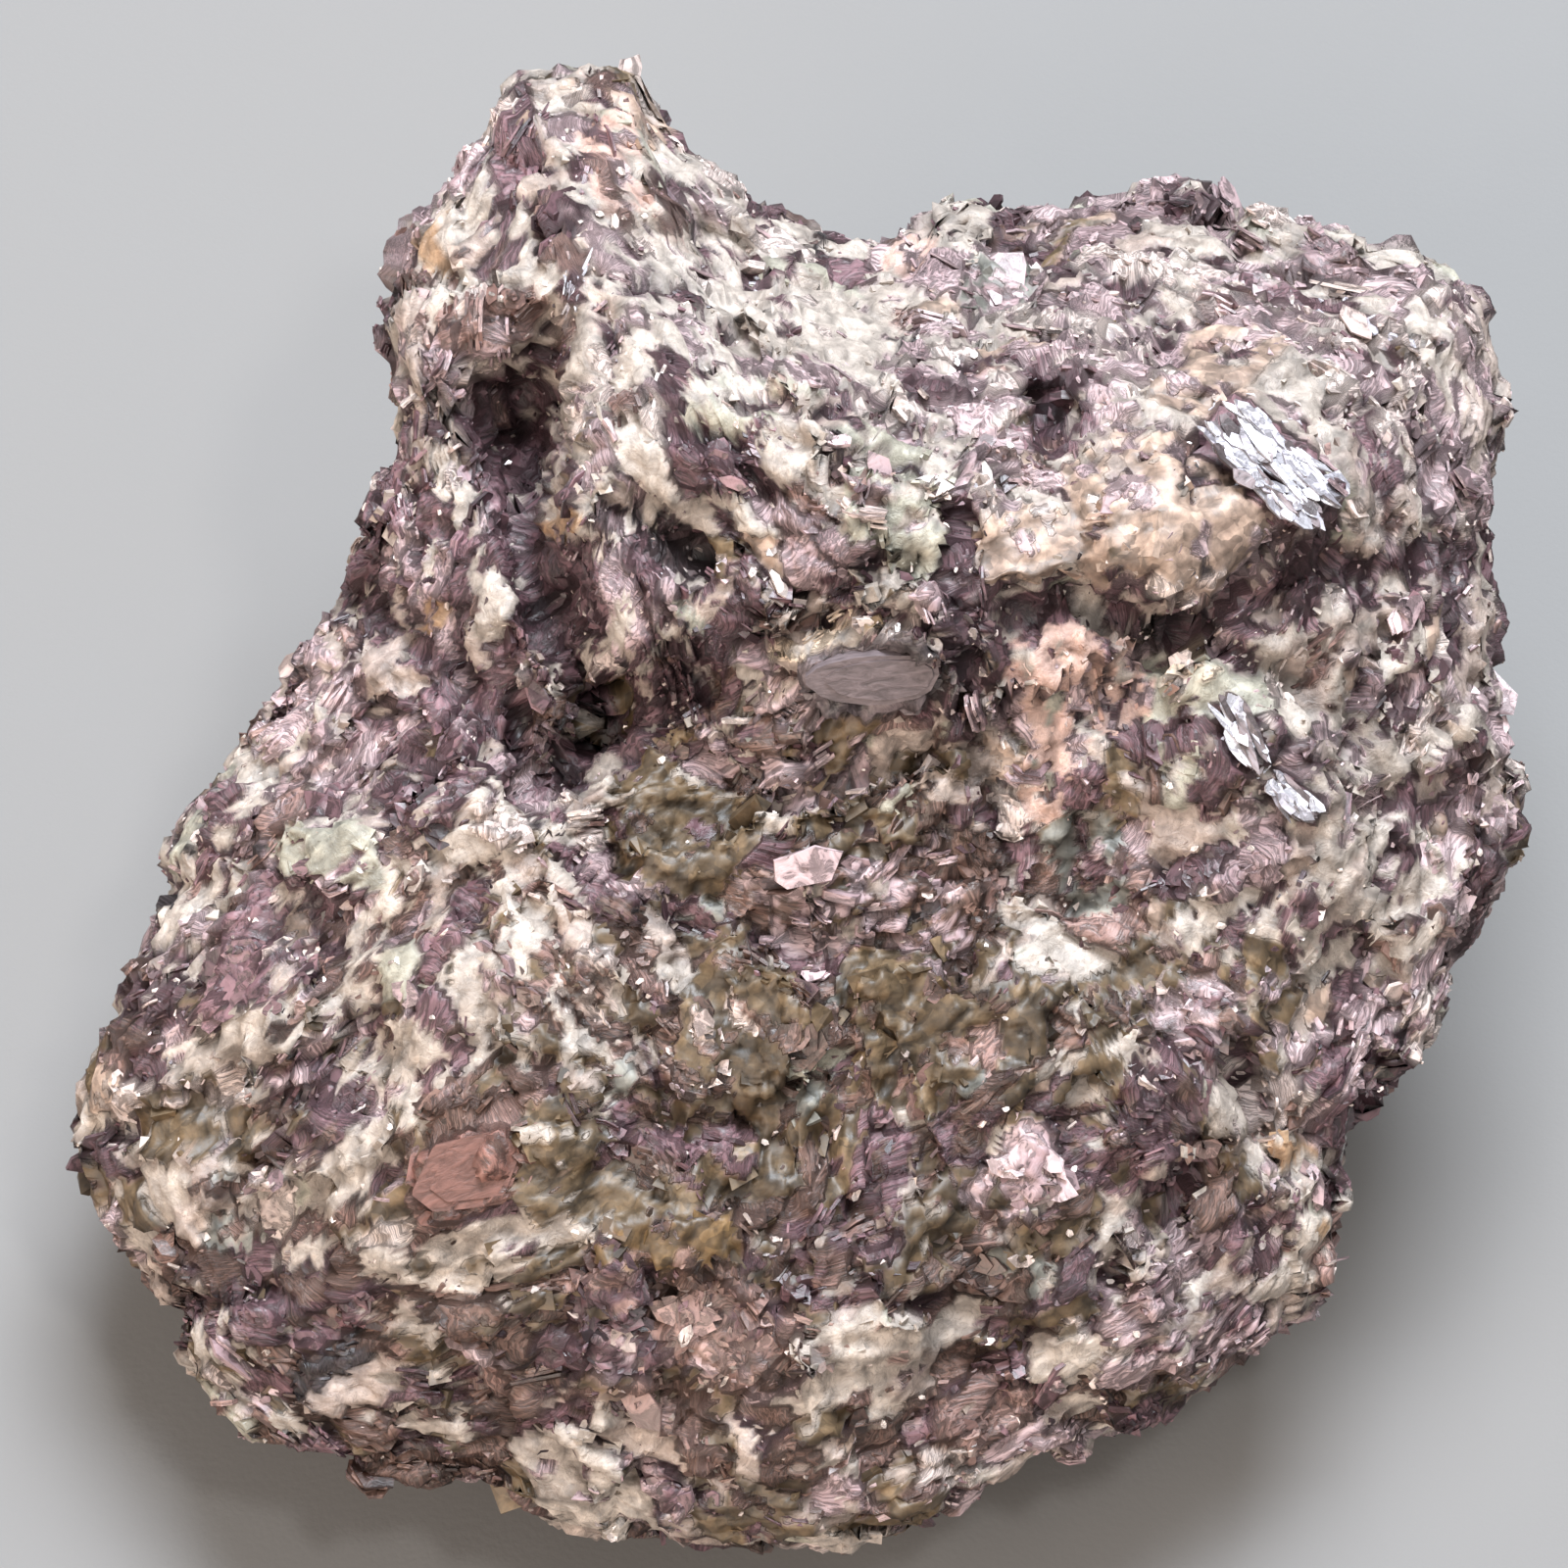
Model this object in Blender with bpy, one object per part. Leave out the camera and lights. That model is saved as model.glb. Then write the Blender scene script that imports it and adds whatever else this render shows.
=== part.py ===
"""Raw lepidolite: one broken lump the size of a palm, lying on its flat side with its best face up.

The face is drawn square on, in millimetres: across to the right, up towards the peak, and out
towards the viewer. A fine sphere is pushed to that form, leaned back, thinned and cut flat below.
"""

import math

import bmesh
import bpy
import numpy as np

MM = 0.001
NAME = "lepidolite_lump"

# How the lump lies: its face looks up at this angle above level, this far over the flat side. The
# back would bulge a little below the flat side, and the rim is drawn as seen from this distance.
FACE_RISE = math.radians(62)
SEAT_DEPTH = 30.0
SEAT_BULGE = 1.6
SEEN_FROM = 700.0

# How far the smooth rim stays inside the drawn one, which its rough blocks make up.
RIM_MARGIN = 0.7

# Section from front to back: 2 is an ellipse, and more is boxier.
FRONT_CORNER = 3.6
BACK_CORNER = 3.0

# Smoothing between the heights of the face.
RELIEF_BLEND = 3.7

# Flat-faced blocks of mica and feldspar that the surface breaks along, coarse and then fine: their
# size, slope and step. They are calmer at the rim, and stand out sideways less than forwards.
SEED = 27
BLOCK_SIZES = (12.0, 6.0)
BLOCK_TILTS = (0.09, 0.10)
BLOCK_STEPS = (0.55, 0.4)
BLOCKS_FROM = (-46, -47, -56)
BLOCKS_TO = (46, 47, 18)
RIM_CALM = 0.45
SIDEWAYS_SHARE = 0.6

SPHERE_CUTS = 7
FACET_SHARE = 0.108
GROUND_SIZE = 200.0

# The rim as the face is seen square on, anticlockwise from the right: across, up, out.
RIM = (
    (45.1, -0.6, -4), (45.0, 3.0, -4), (44.1, 6.0, -4), (43.4, 9.0, -5), (43.5, 18.5, -5),
    (44.0, 22.7, -6), (44.7, 25.7, -7), (44.5, 29.0, -8), (43.8, 32.2, -9), (42.0, 34.4, -10),
    (39.9, 35.5, -11), (35.1, 35.6, -12), (32.1, 36.9, -13), (28.8, 37.5, -14), (24.9, 38.7, -15),
    (18.5, 38.9, -16), (17.3, 38.1, -16), (13.9, 38.0, -15), (11.8, 38.9, -14), (9.8, 38.9, -14),
    (8.2, 37.3, -14), (5.8, 36.4, -13), (3.7, 36.1, -12), (0.4, 37.1, -11), (-2.6, 38.4, -10),
    (-6.5, 41.6, -8), (-8.1, 43.4, -7), (-9.4, 45.1, -7), (-11.8, 45.9, -7), (-14.8, 46.1, -7),
    (-17.1, 45.8, -6), (-18.4, 44.6, -5), (-20.0, 41.7, -5), (-21.3, 39.6, -4), (-23.8, 37.5, -4),
    (-25.4, 31.7, -3), (-25.0, 28.7, -3), (-24.3, 25.7, -3), (-24.6, 22.7, -3), (-28.2, 16.4, -4),
    (-29.4, 13.5, -5), (-32.4, 7.8, -6), (-36.4, 1.8, -6), (-38.9, -0.5, -6), (-39.9, -2.9, -6),
    (-39.0, -4.7, -6), (-40.2, -6.6, -6), (-42.5, -12.7, -5), (-44.9, -17.2, -5), (-45.0, -20.3, -4),
    (-42.8, -26.9, -3), (-39.3, -32.8, -1), (-38.4, -35.4, 0), (-34.0, -39.3, 1), (-27.1, -41.1, 2),
    (-19.7, -41.7, 3), (-18.0, -42.8, 3), (-15.4, -44.6, 3), (-11.8, -45.6, 4), (-1.1, -46.3, 4),
    (7.3, -45.0, 4), (14.5, -41.9, 3), (18.4, -39.6, 2), (26.1, -36.3, 1), (31.7, -31.1, 0),
    (33.2, -28.1, -1), (34.9, -22.4, -2), (39.1, -15.8, -2), (41.2, -10.2, -3), (44.7, -3.3, -4),
)

# Heights of the broken face: across, up, out.
LOWER_FACE = (
    (0, -28, 12), (-18, -28, 11), (-33, -28, 7.5), (-41, -22, 4), (17, -28, 11), (29, -26, 7),
    (0, -40, 9.5), (-17, -38, 8), (14, -38, 8), (-30, -36, 6), (0, -16, 11), (-18, -13, 11.5),
    (-33, -13, 7.5), (-40, -14, 3), (17, -16, 11), (31, -15, 8.5), (38, -10, 5), (0, -4, 9.5),
    (8, -1, 9), (-12, -2, 10), (-24, -3, 8.5), (-33, -1, 4.5), (-38, -2, 1), (19, -4, 8.5),
    (29, -4, 10), (38, -1, 8), (43, 1, 4), (17, 5, 10.5), (29, 6, 10.5), (38, 8, 8.5),
    (-5, 4, 9.5), (3, 2, 10), (-30, 7, 0), (-27, 11, 1.5), (-23, 7, 6.5), (-17, 5, 9),
)
MIDDLE_BLOCK = (
    (-6, 12, 13.5), (3, 12, 15.5), (8, 14, 16.5), (0, 20, 16.5), (6, 21, 16), (-9, 22, 15),
    (-3, 26, 15.5), (3, 26, 14), (-12, 29, 11.5), (-6, 30, 11), (6, 26, 11.5), (-11, 17, 13),
    (-14, 11, 11), (3, 31, 6), (3, 35, -4), (-3, 35, 2), (7, 30, 3),
)
RIGHT_BLOCK = (
    (15, 23, 12), (22, 19, 15.5), (22, 25, 12), (15, 29, 7), (22, 30, 5.5), (29, 23, 12.5),
    (29, 29, 6.5), (36, 23, 10.5), (37, 29, 5.5), (35, 33, 0), (26, 34, -4), (18, 34, -5),
    (12, 35, -7), (41, 30, -1), (41, 24, 4), (41, 20, 6), (29, 17, 13), (37, 17, 10.5),
    (22, 14, 14), (20, 8, 9.5), (29, 11, 9.5), (37, 12, 8.5), (41, 11, 5),
)
PEAK = (
    (-15, 41, 2.5), (-12, 36, 6), (-14, 32, 8.5), (-18, 35, 5.5), (-22, 35, 2), (-23, 30, 3),
    (-20, 26, 5.5), (-10, 41, 0.5), (-7, 37, 0.5), (-12, 45, -3), (-17, 43, -1), (-21, 21, 5.5),
    (-24, 17, 3), (-20, 14, 8), (-24, 12, 4.5),
)

# Crevices along the ledges: the path across and up, then width and depth.
CREVICES = (
    (((-15, 30), (-17, 21), (-16, 16), (-14, 11), (-11, 5)), 1.9, 4.5),
    (((-29, 15), (-23, 10), (-17, 5)), 1.9, 2.6),
    (((-15, 2), (-11, 6), (-6, 8)), 1.7, 3.6),
    (((14, 12), (18, 13), (23, 11), (29, 13), (32, 15), (42, 16)), 1.6, 2.6),
    (((10, 19), (10, 12), (11, 7)), 1.0, 1.8),
)
# Pits: across, up, radius, depth.
PITS = (
    (-17.8, 24.4, 3.0, 7.0), (-28, 13.5, 2.2, 3.0), (16, 24.8, 1.9, 3.2), (23.4, 31, 1.9, 2.6),
    (-8, 17.3, 2.4, 2.2), (-11, -1.5, 2.0, 2.0),
)
# Lumps that stand out of the face: across, up, radius, height.
LUMPS = (
    (22.5, 19.5, 5.5, 2.2), (-20, -22, 4.2, 1.2), (5, -33, 4.6, 1.0), (-29.5, -3, 3.4, 1.2),
    (27.5, 4.5, 3.6, 1.2), (2, 25.5, 4.6, 1.6), (-14, -8, 4.0, 1.2), (24, -19, 4.2, 1.4),
)
# Single crystals with a flat face: across, up, half length, half width, turn of the length in
# degrees, how its face falls to the right and upwards, and how far it stands out of the rock.
CRYSTALS = (
    (29.4, 21.5, 5.0, 2.5, -47, 0.10, 0.30, 0.9), (27.6, 5.1, 3.0, 1.4, -62, 0.10, 0.20, 0.8),
    (30.9, 0.9, 2.2, 1.3, -40, 0.10, 0.20, 0.7), (25.2, 8.4, 1.8, 1.5, 25, 0.15, -0.15, 0.9),
    (4.9, 8.4, 4.5, 2.0, 6, 0.05, -0.25, 0.8), (-19.9, -22.1, 3.5, 2.6, 20, 0.12, -0.06, 0.8),
    (-32.6, -23.9, 2.4, 1.5, 80, -0.10, 0.15, 0.7), (-7.1, -1.2, 4.2, 2.8, -20, 0.18, 0.10, 0.5),
    (-2.9, -13.2, 4.6, 3.8, 70, -0.12, 0.12, 0.6), (7.3, -13.8, 4.8, 3.6, 100, 0.14, -0.10, 0.5),
    (-36.5, -20.0, 5.0, 2.1, -4, 0.05, -0.10, 0.5), (-7.7, -26.3, 4.4, 2.0, 8, -0.10, -0.12, 0.6),
    (-14.8, -22.0, 2.6, 2.4, 0, 0.20, 0.10, 0.5), (4.3, -32.6, 4.6, 1.9, 10, 0.05, 0.15, 0.8),
    (-32.8, -7.8, 4.0, 3.2, 60, -0.20, 0.10, 0.7), (-10.2, -31.5, 3.8, 2.8, 75, 0.22, 0.05, 0.6),
    (-4.8, -32.3, 3.4, 2.8, 40, -0.15, -0.15, 0.6), (37.0, -18.0, 4.0, 2.6, 65, 0.20, 0.05, 0.7),
    (-8.8, 17.2, 4.0, 1.6, -35, 0.15, -0.25, 0.8), (6.7, 18.5, 3.5, 2.8, -15, 0.10, -0.10, 0.9),
    (-29.2, -2.4, 3.4, 2.2, 5, -0.05, 0.15, 0.8), (12.7, 32.9, 2.1, 1.8, 0, 0.05, 0.20, 0.7),
    (15.5, 17.0, 3.2, 2.4, 20, 0.05, 0.12, 0.7), (24.5, -12.5, 3.0, 2.2, -25, 0.10, 0.15, 0.6),
    (14.0, -22.5, 3.0, 2.0, 55, -0.18, 0.10, 0.6), (-21.5, 1.5, 3.2, 1.8, 40, -0.15, 0.20, 0.7),
)
CRYSTAL_EDGE = 0.12

# Flat breaks that bound the sides and the back: which way each looks, and how far it clears the rim.
BREAKS = (
    ((0.15, 0.86, -0.48), 0.5), ((0.72, 0.50, -0.50), 0.8), ((-0.70, 0.52, -0.50), 1.0),
    ((0.90, -0.10, -0.42), 0.5), ((-0.90, -0.12, -0.42), 0.5), ((0.60, -0.60, -0.52), 1.0),
    ((-0.52, -0.66, -0.54), 0.6), ((0.05, -0.76, -0.65), 0.5), ((-0.30, 0.80, -0.52), 0.6),
)


def face_axes():
    """Across, up and out of the broken face, as world directions."""
    rise, level = math.sin(FACE_RISE), math.cos(FACE_RISE)
    return np.array(((1, 0, 0), (0, rise, level), (0, -level, rise)))


def round_the_rim(angle):
    """Reach and depth of the rim at each angle round the face."""
    rim = np.array(RIM)
    around = np.arctan2(rim[:, 1], rim[:, 0])
    reach = np.hypot(rim[:, 0], rim[:, 1]) * (1 - rim[:, 2] / SEEN_FROM) - RIM_MARGIN
    turn = 2 * math.pi
    return np.interp(angle, around, reach, period=turn), np.interp(angle, around, rim[:, 2], period=turn)


def rock_height(across, up):
    """Height of the rock: its listed heights blended by distance, then lumps, pits and crevices."""
    height = np.zeros_like(across)
    weight = np.full_like(across, 1e-12)
    for x, y, out in LOWER_FACE + MIDDLE_BLOCK + RIGHT_BLOCK + PEAK:
        near = np.exp(-((across - x) ** 2 + (up - y) ** 2) / (2 * RELIEF_BLEND**2))
        height += near * out
        weight += near
    height /= weight
    for x, y, radius, tall in LUMPS:
        height += tall * np.exp(-(((across - x) ** 2 + (up - y) ** 2) / radius**2) ** 2)
    for x, y, radius, deep in PITS:
        height -= deep * np.exp(-((across - x) ** 2 + (up - y) ** 2) / radius**2)
    for path, width, deep in CREVICES:
        height -= deep * np.exp(-((distance_to(path, across, up) / width) ** 2))
    return height


def face_height(across, up):
    """Height of the face: the rock, with each crystal's flat face set in it at the rock's own level."""
    height = rock_height(across, up)
    for x, y, half_length, half_width, turn, right, rise, stand in CRYSTALS:
        turn = math.radians(turn)
        along = ((across - x) * math.cos(turn) + (up - y) * math.sin(turn)) / half_length
        aside = ((up - y) * math.cos(turn) - (across - x) * math.sin(turn)) / half_width
        inside = np.clip((1 - (along**4 + aside**4) ** 0.25) / CRYSTAL_EDGE, 0, 1)
        level = rock_height(np.array([float(x)]), np.array([float(y)]))[0] + stand
        height += inside * (level - right * (across - x) - rise * (up - y) - height)
    return height


def distance_to(path, across, up):
    """Distance of each point from a path of straight runs."""
    nearest = np.full_like(across, 1e3)
    for (x0, y0), (x1, y1) in zip(path, path[1:]):
        run = (x1 - x0) ** 2 + (y1 - y0) ** 2
        along = np.clip(((across - x0) * (x1 - x0) + (up - y0) * (y1 - y0)) / run, 0, 1)
        away = np.hypot(across - x0 - along * (x1 - x0), up - y0 - along * (y1 - y0))
        nearest = np.minimum(nearest, away)
    return nearest


def back_depth(up):
    """Depth of the back, a little below the flat side that the lump lies on."""
    return -(SEAT_DEPTH + SEAT_BULGE + up * math.cos(FACE_RISE)) / math.sin(FACE_RISE)


def lump_form(ways):
    """Places on the lump, in the axes of its face, for directions from its middle."""
    angle = np.arctan2(ways[:, 1], ways[:, 0])
    side = np.hypot(ways[:, 0], ways[:, 1])
    corner = np.where(ways[:, 2] > 0, FRONT_CORNER, BACK_CORNER)
    section = (side**corner + np.abs(ways[:, 2]) ** corner) ** (-1 / corner)
    reach, rim = round_the_rim(angle)
    across = reach * np.cos(angle) * side * section
    up = reach * np.sin(angle) * side * section
    lift = ways[:, 2] * section
    front = rim + lift * (face_height(across, up) - rim)
    back = rim - lift * (back_depth(up) - rim)
    return np.stack((across, up, np.where(lift > 0, front, back)), axis=1)


def block_heights(places, size, tilt, step, seed):
    """Height of each place on its block: blocks are the cells nearest to scattered points."""
    dice = np.random.default_rng(seed)
    count = int(np.prod(np.subtract(BLOCKS_TO, BLOCKS_FROM) / size))
    middles = dice.uniform(BLOCKS_FROM, BLOCKS_TO, (count, 3))
    slopes = dice.normal(0, tilt, (count, 3))
    steps = dice.uniform(-step, step, count)
    nearest = np.zeros(len(places), int)
    closest = np.full(len(places), 1e9)
    for index, middle in enumerate(middles):
        away = ((places - middle) ** 2).sum(axis=1)
        nearest = np.where(away < closest, index, nearest)
        closest = np.minimum(away, closest)
    return steps[nearest] + ((places - middles[nearest]) * slopes[nearest]).sum(axis=1)


def break_flat(places):
    """Bring every place beyond a flat break back onto it."""
    for way, clear in BREAKS:
        way = np.array(way) / np.linalg.norm(way)
        out = (np.array(RIM) @ way).max() + clear
        beyond = np.maximum(places @ way - out, 0)
        places = places - beyond[:, None] * way
    return places


def lump_places(ways):
    """World places of the lump's surface in millimetres, its flat side not yet cut."""
    places = break_flat(lump_form(ways))
    outward = ways * (SIDEWAYS_SHARE, SIDEWAYS_SHARE, 1)
    outward /= np.linalg.norm(outward, axis=1)[:, None]
    roughness = RIM_CALM + (1 - RIM_CALM) * np.abs(ways[:, 2])
    settings = zip(BLOCK_SIZES, BLOCK_TILTS, BLOCK_STEPS)
    for number, (size, tilt, step) in enumerate(settings):
        height = roughness * block_heights(places, size, tilt, step, SEED + number)
        places = places + height[:, None] * outward
    return places @ face_axes()


def standing_centred(places):
    """The places moved so that the flat side is at height 0, under the middle of the box."""
    middle = (places.min(axis=0) + places.max(axis=0)) / 2
    return places - (middle[0], middle[1], -SEAT_DEPTH)


def make_material():
    """Pinkish lilac mica rock, dull to satin."""
    material = bpy.data.materials.new("lepidolite")
    material.use_nodes = True
    shader = material.node_tree.nodes["Principled BSDF"]
    shader.inputs["Base Color"].default_value = (0.27, 0.19, 0.18, 1)
    shader.inputs["Roughness"].default_value = 0.5
    shader.inputs["Metallic"].default_value = 0
    return material


def make_lump(collection):
    """The lump as a fine sphere pushed to its form, thinned to flat facets."""
    mesh = bpy.data.meshes.new(NAME)
    shape = bmesh.new()
    bmesh.ops.create_icosphere(shape, subdivisions=SPHERE_CUTS, radius=1)
    shape.to_mesh(mesh)
    shape.free()
    ways = np.empty(len(mesh.vertices) * 3)
    mesh.vertices.foreach_get("co", ways)
    ways = ways.reshape(-1, 3)
    places = standing_centred(lump_places(ways / np.linalg.norm(ways, axis=1)[:, None]))
    mesh.vertices.foreach_set("co", (places * MM).ravel())
    mesh.materials.append(make_material())
    lump = bpy.data.objects.new(NAME, mesh)
    collection.objects.link(lump)
    thin = lump.modifiers.new("facets", "DECIMATE")
    thin.ratio = FACET_SHARE
    return lump


def cut_flat(lump, cutters):
    """Cut the lump off flat where it rests."""
    size = GROUND_SIZE * MM
    bpy.ops.mesh.primitive_cube_add(size=size, location=(0, 0, -size / 2))
    ground = bpy.context.object
    ground.name = "ground_cutter"
    for collection in ground.users_collection:
        collection.objects.unlink(ground)
    cutters.objects.link(ground)
    ground.hide_render = True
    ground.display_type = "WIRE"
    cut = lump.modifiers.new("flat_side", "BOOLEAN")
    cut.operation = "DIFFERENCE"
    cut.object = ground


def new_collection(name):
    collection = bpy.data.collections.new(name)
    bpy.context.scene.collection.children.link(collection)
    return collection


def main():
    for thing in list(bpy.data.objects):
        bpy.data.objects.remove(thing, do_unlink=True)
    lump = make_lump(new_collection("raw_lepidolite"))
    cut_flat(lump, new_collection("cutters"))


main()
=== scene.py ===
"""Looks of one lump of raw lepidolite: lilac mica books and flakes, sugary feldspar and smoky quartz.

The lump's form is worked out in millimetres square on to its broken face, across to the right, up
towards the peak and out towards the viewer, and is turned to the CAD frame at the end.
"""

import math
from collections import namedtuple

import bpy
import numpy as np
from mathutils import Matrix


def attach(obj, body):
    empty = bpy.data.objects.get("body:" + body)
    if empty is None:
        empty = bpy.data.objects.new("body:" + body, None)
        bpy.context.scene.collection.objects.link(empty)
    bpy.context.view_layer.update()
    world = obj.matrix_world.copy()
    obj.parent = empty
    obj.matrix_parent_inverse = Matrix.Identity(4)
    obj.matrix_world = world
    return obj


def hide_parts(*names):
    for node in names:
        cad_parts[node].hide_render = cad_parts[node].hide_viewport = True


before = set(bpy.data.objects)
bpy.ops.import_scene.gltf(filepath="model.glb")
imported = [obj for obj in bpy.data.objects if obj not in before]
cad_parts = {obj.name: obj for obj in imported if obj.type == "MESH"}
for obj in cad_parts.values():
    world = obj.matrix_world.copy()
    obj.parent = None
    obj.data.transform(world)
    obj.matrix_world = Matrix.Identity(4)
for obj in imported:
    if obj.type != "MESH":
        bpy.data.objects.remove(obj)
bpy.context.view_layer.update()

# The solid that the skin stands for, and one millimetre in metres.
NODE = "lepidolite_lump"
MM = 0.001

# The form of the lump, in the numbers of its solid. Only five crystals lie flatter here: the three
# silvery ones, the grey one and the brick one.
FACE_RISE = math.radians(62)
SEAT_DEPTH = 30.0
SEAT_BULGE = 1.6
SEEN_FROM = 700.0
RIM_MARGIN = 0.7
FRONT_CORNER = 3.6
BACK_CORNER = 3.0
RELIEF_BLEND = 3.7
BLOCK_SEED = 27
BLOCK_SIZES = (12.0, 6.0)
BLOCK_TILTS = (0.09, 0.10)
BLOCK_STEPS = (0.55, 0.4)
BLOCKS_FROM = (-46, -47, -56)
BLOCKS_TO = (46, 47, 18)
RIM_CALM = 0.45
SIDEWAYS_SHARE = 0.6

# The rim as the face is seen square on, anticlockwise from the right: across, up, out.
RIM = (
    (45.1, -0.6, -4), (45.0, 3.0, -4), (44.1, 6.0, -4), (43.4, 9.0, -5), (43.5, 18.5, -5),
    (44.0, 22.7, -6), (44.7, 25.7, -7), (44.5, 29.0, -8), (43.8, 32.2, -9), (42.0, 34.4, -10),
    (39.9, 35.5, -11), (35.1, 35.6, -12), (32.1, 36.9, -13), (28.8, 37.5, -14), (24.9, 38.7, -15),
    (18.5, 38.9, -16), (17.3, 38.1, -16), (13.9, 38.0, -15), (11.8, 38.9, -14), (9.8, 38.9, -14),
    (8.2, 37.3, -14), (5.8, 36.4, -13), (3.7, 36.1, -12), (0.4, 37.1, -11), (-2.6, 38.4, -10),
    (-6.5, 41.6, -8), (-8.1, 43.4, -7), (-9.4, 45.1, -7), (-11.8, 45.9, -7), (-14.8, 46.1, -7),
    (-17.1, 45.8, -6), (-18.4, 44.6, -5), (-20.0, 41.7, -5), (-21.3, 39.6, -4), (-23.8, 37.5, -4),
    (-25.4, 31.7, -3), (-25.0, 28.7, -3), (-24.3, 25.7, -3), (-24.6, 22.7, -3), (-28.2, 16.4, -4),
    (-29.4, 13.5, -5), (-32.4, 7.8, -6), (-36.4, 1.8, -6), (-38.9, -0.5, -6), (-39.9, -2.9, -6),
    (-39.0, -4.7, -6), (-40.2, -6.6, -6), (-42.5, -12.7, -5), (-44.9, -17.2, -5), (-45.0, -20.3, -4),
    (-42.8, -26.9, -3), (-39.3, -32.8, -1), (-38.4, -35.4, 0), (-34.0, -39.3, 1), (-27.1, -41.1, 2),
    (-19.7, -41.7, 3), (-18.0, -42.8, 3), (-15.4, -44.6, 3), (-11.8, -45.6, 4), (-1.1, -46.3, 4),
    (7.3, -45.0, 4), (14.5, -41.9, 3), (18.4, -39.6, 2), (26.1, -36.3, 1), (31.7, -31.1, 0),
    (33.2, -28.1, -1), (34.9, -22.4, -2), (39.1, -15.8, -2), (41.2, -10.2, -3), (44.7, -3.3, -4),
)

# Heights of the broken face: across, up, out.
LOWER_FACE = (
    (0, -28, 12), (-18, -28, 11), (-33, -28, 7.5), (-41, -22, 4), (17, -28, 11), (29, -26, 7),
    (0, -40, 9.5), (-17, -38, 8), (14, -38, 8), (-30, -36, 6), (0, -16, 11), (-18, -13, 11.5),
    (-33, -13, 7.5), (-40, -14, 3), (17, -16, 11), (31, -15, 8.5), (38, -10, 5), (0, -4, 9.5),
    (8, -1, 9), (-12, -2, 10), (-24, -3, 8.5), (-33, -1, 4.5), (-38, -2, 1), (19, -4, 8.5),
    (29, -4, 10), (38, -1, 8), (43, 1, 4), (17, 5, 10.5), (29, 6, 10.5), (38, 8, 8.5),
    (-5, 4, 9.5), (3, 2, 10), (-30, 7, 0), (-27, 11, 1.5), (-23, 7, 6.5), (-17, 5, 9),
)
MIDDLE_BLOCK = (
    (-6, 12, 13.5), (3, 12, 15.5), (8, 14, 16.5), (0, 20, 16.5), (6, 21, 16), (-9, 22, 15),
    (-3, 26, 15.5), (3, 26, 14), (-12, 29, 11.5), (-6, 30, 11), (6, 26, 11.5), (-11, 17, 13),
    (-14, 11, 11), (3, 31, 6), (3, 35, -4), (-3, 35, 2), (7, 30, 3),
)
RIGHT_BLOCK = (
    (15, 23, 12), (22, 19, 15.5), (22, 25, 12), (15, 29, 7), (22, 30, 5.5), (29, 23, 12.5),
    (29, 29, 6.5), (36, 23, 10.5), (37, 29, 5.5), (35, 33, 0), (26, 34, -4), (18, 34, -5),
    (12, 35, -7), (41, 30, -1), (41, 24, 4), (41, 20, 6), (29, 17, 13), (37, 17, 10.5),
    (22, 14, 14), (20, 8, 9.5), (29, 11, 9.5), (37, 12, 8.5), (41, 11, 5),
)
PEAK = (
    (-15, 41, 2.5), (-12, 36, 6), (-14, 32, 8.5), (-18, 35, 5.5), (-22, 35, 2), (-23, 30, 3),
    (-20, 26, 5.5), (-10, 41, 0.5), (-7, 37, 0.5), (-12, 45, -3), (-17, 43, -1), (-21, 21, 5.5),
    (-24, 17, 3), (-20, 14, 8), (-24, 12, 4.5),
)
# Crevices along the ledges: the path across and up, then width and depth.
CREVICES = (
    (((-15, 30), (-17, 21), (-16, 16), (-14, 11), (-11, 5)), 1.9, 4.5),
    (((-29, 15), (-23, 10), (-17, 5)), 1.9, 2.6),
    (((-15, 2), (-11, 6), (-6, 8)), 1.7, 3.6),
    (((14, 12), (18, 13), (23, 11), (29, 13), (32, 15), (42, 16)), 1.6, 2.6),
    (((10, 19), (10, 12), (11, 7)), 1.0, 1.8),
)
# Pits: across, up, radius, depth.
PITS = (
    (-17.8, 24.4, 3.0, 7.0), (-28, 13.5, 2.2, 3.0), (16, 24.8, 1.9, 3.2), (23.4, 31, 1.9, 2.6),
    (-8, 17.3, 2.4, 2.2), (-11, -1.5, 2.0, 2.0),
)
# Lumps that stand out of the face: across, up, radius, height.
LUMPS = (
    (22.5, 19.5, 5.5, 2.2), (-20, -22, 4.2, 1.2), (5, -33, 4.6, 1.0), (-29.5, -3, 3.4, 1.2),
    (27.5, 4.5, 3.6, 1.2), (2, 25.5, 4.6, 1.6), (-14, -8, 4.0, 1.2), (24, -19, 4.2, 1.4),
)
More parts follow.
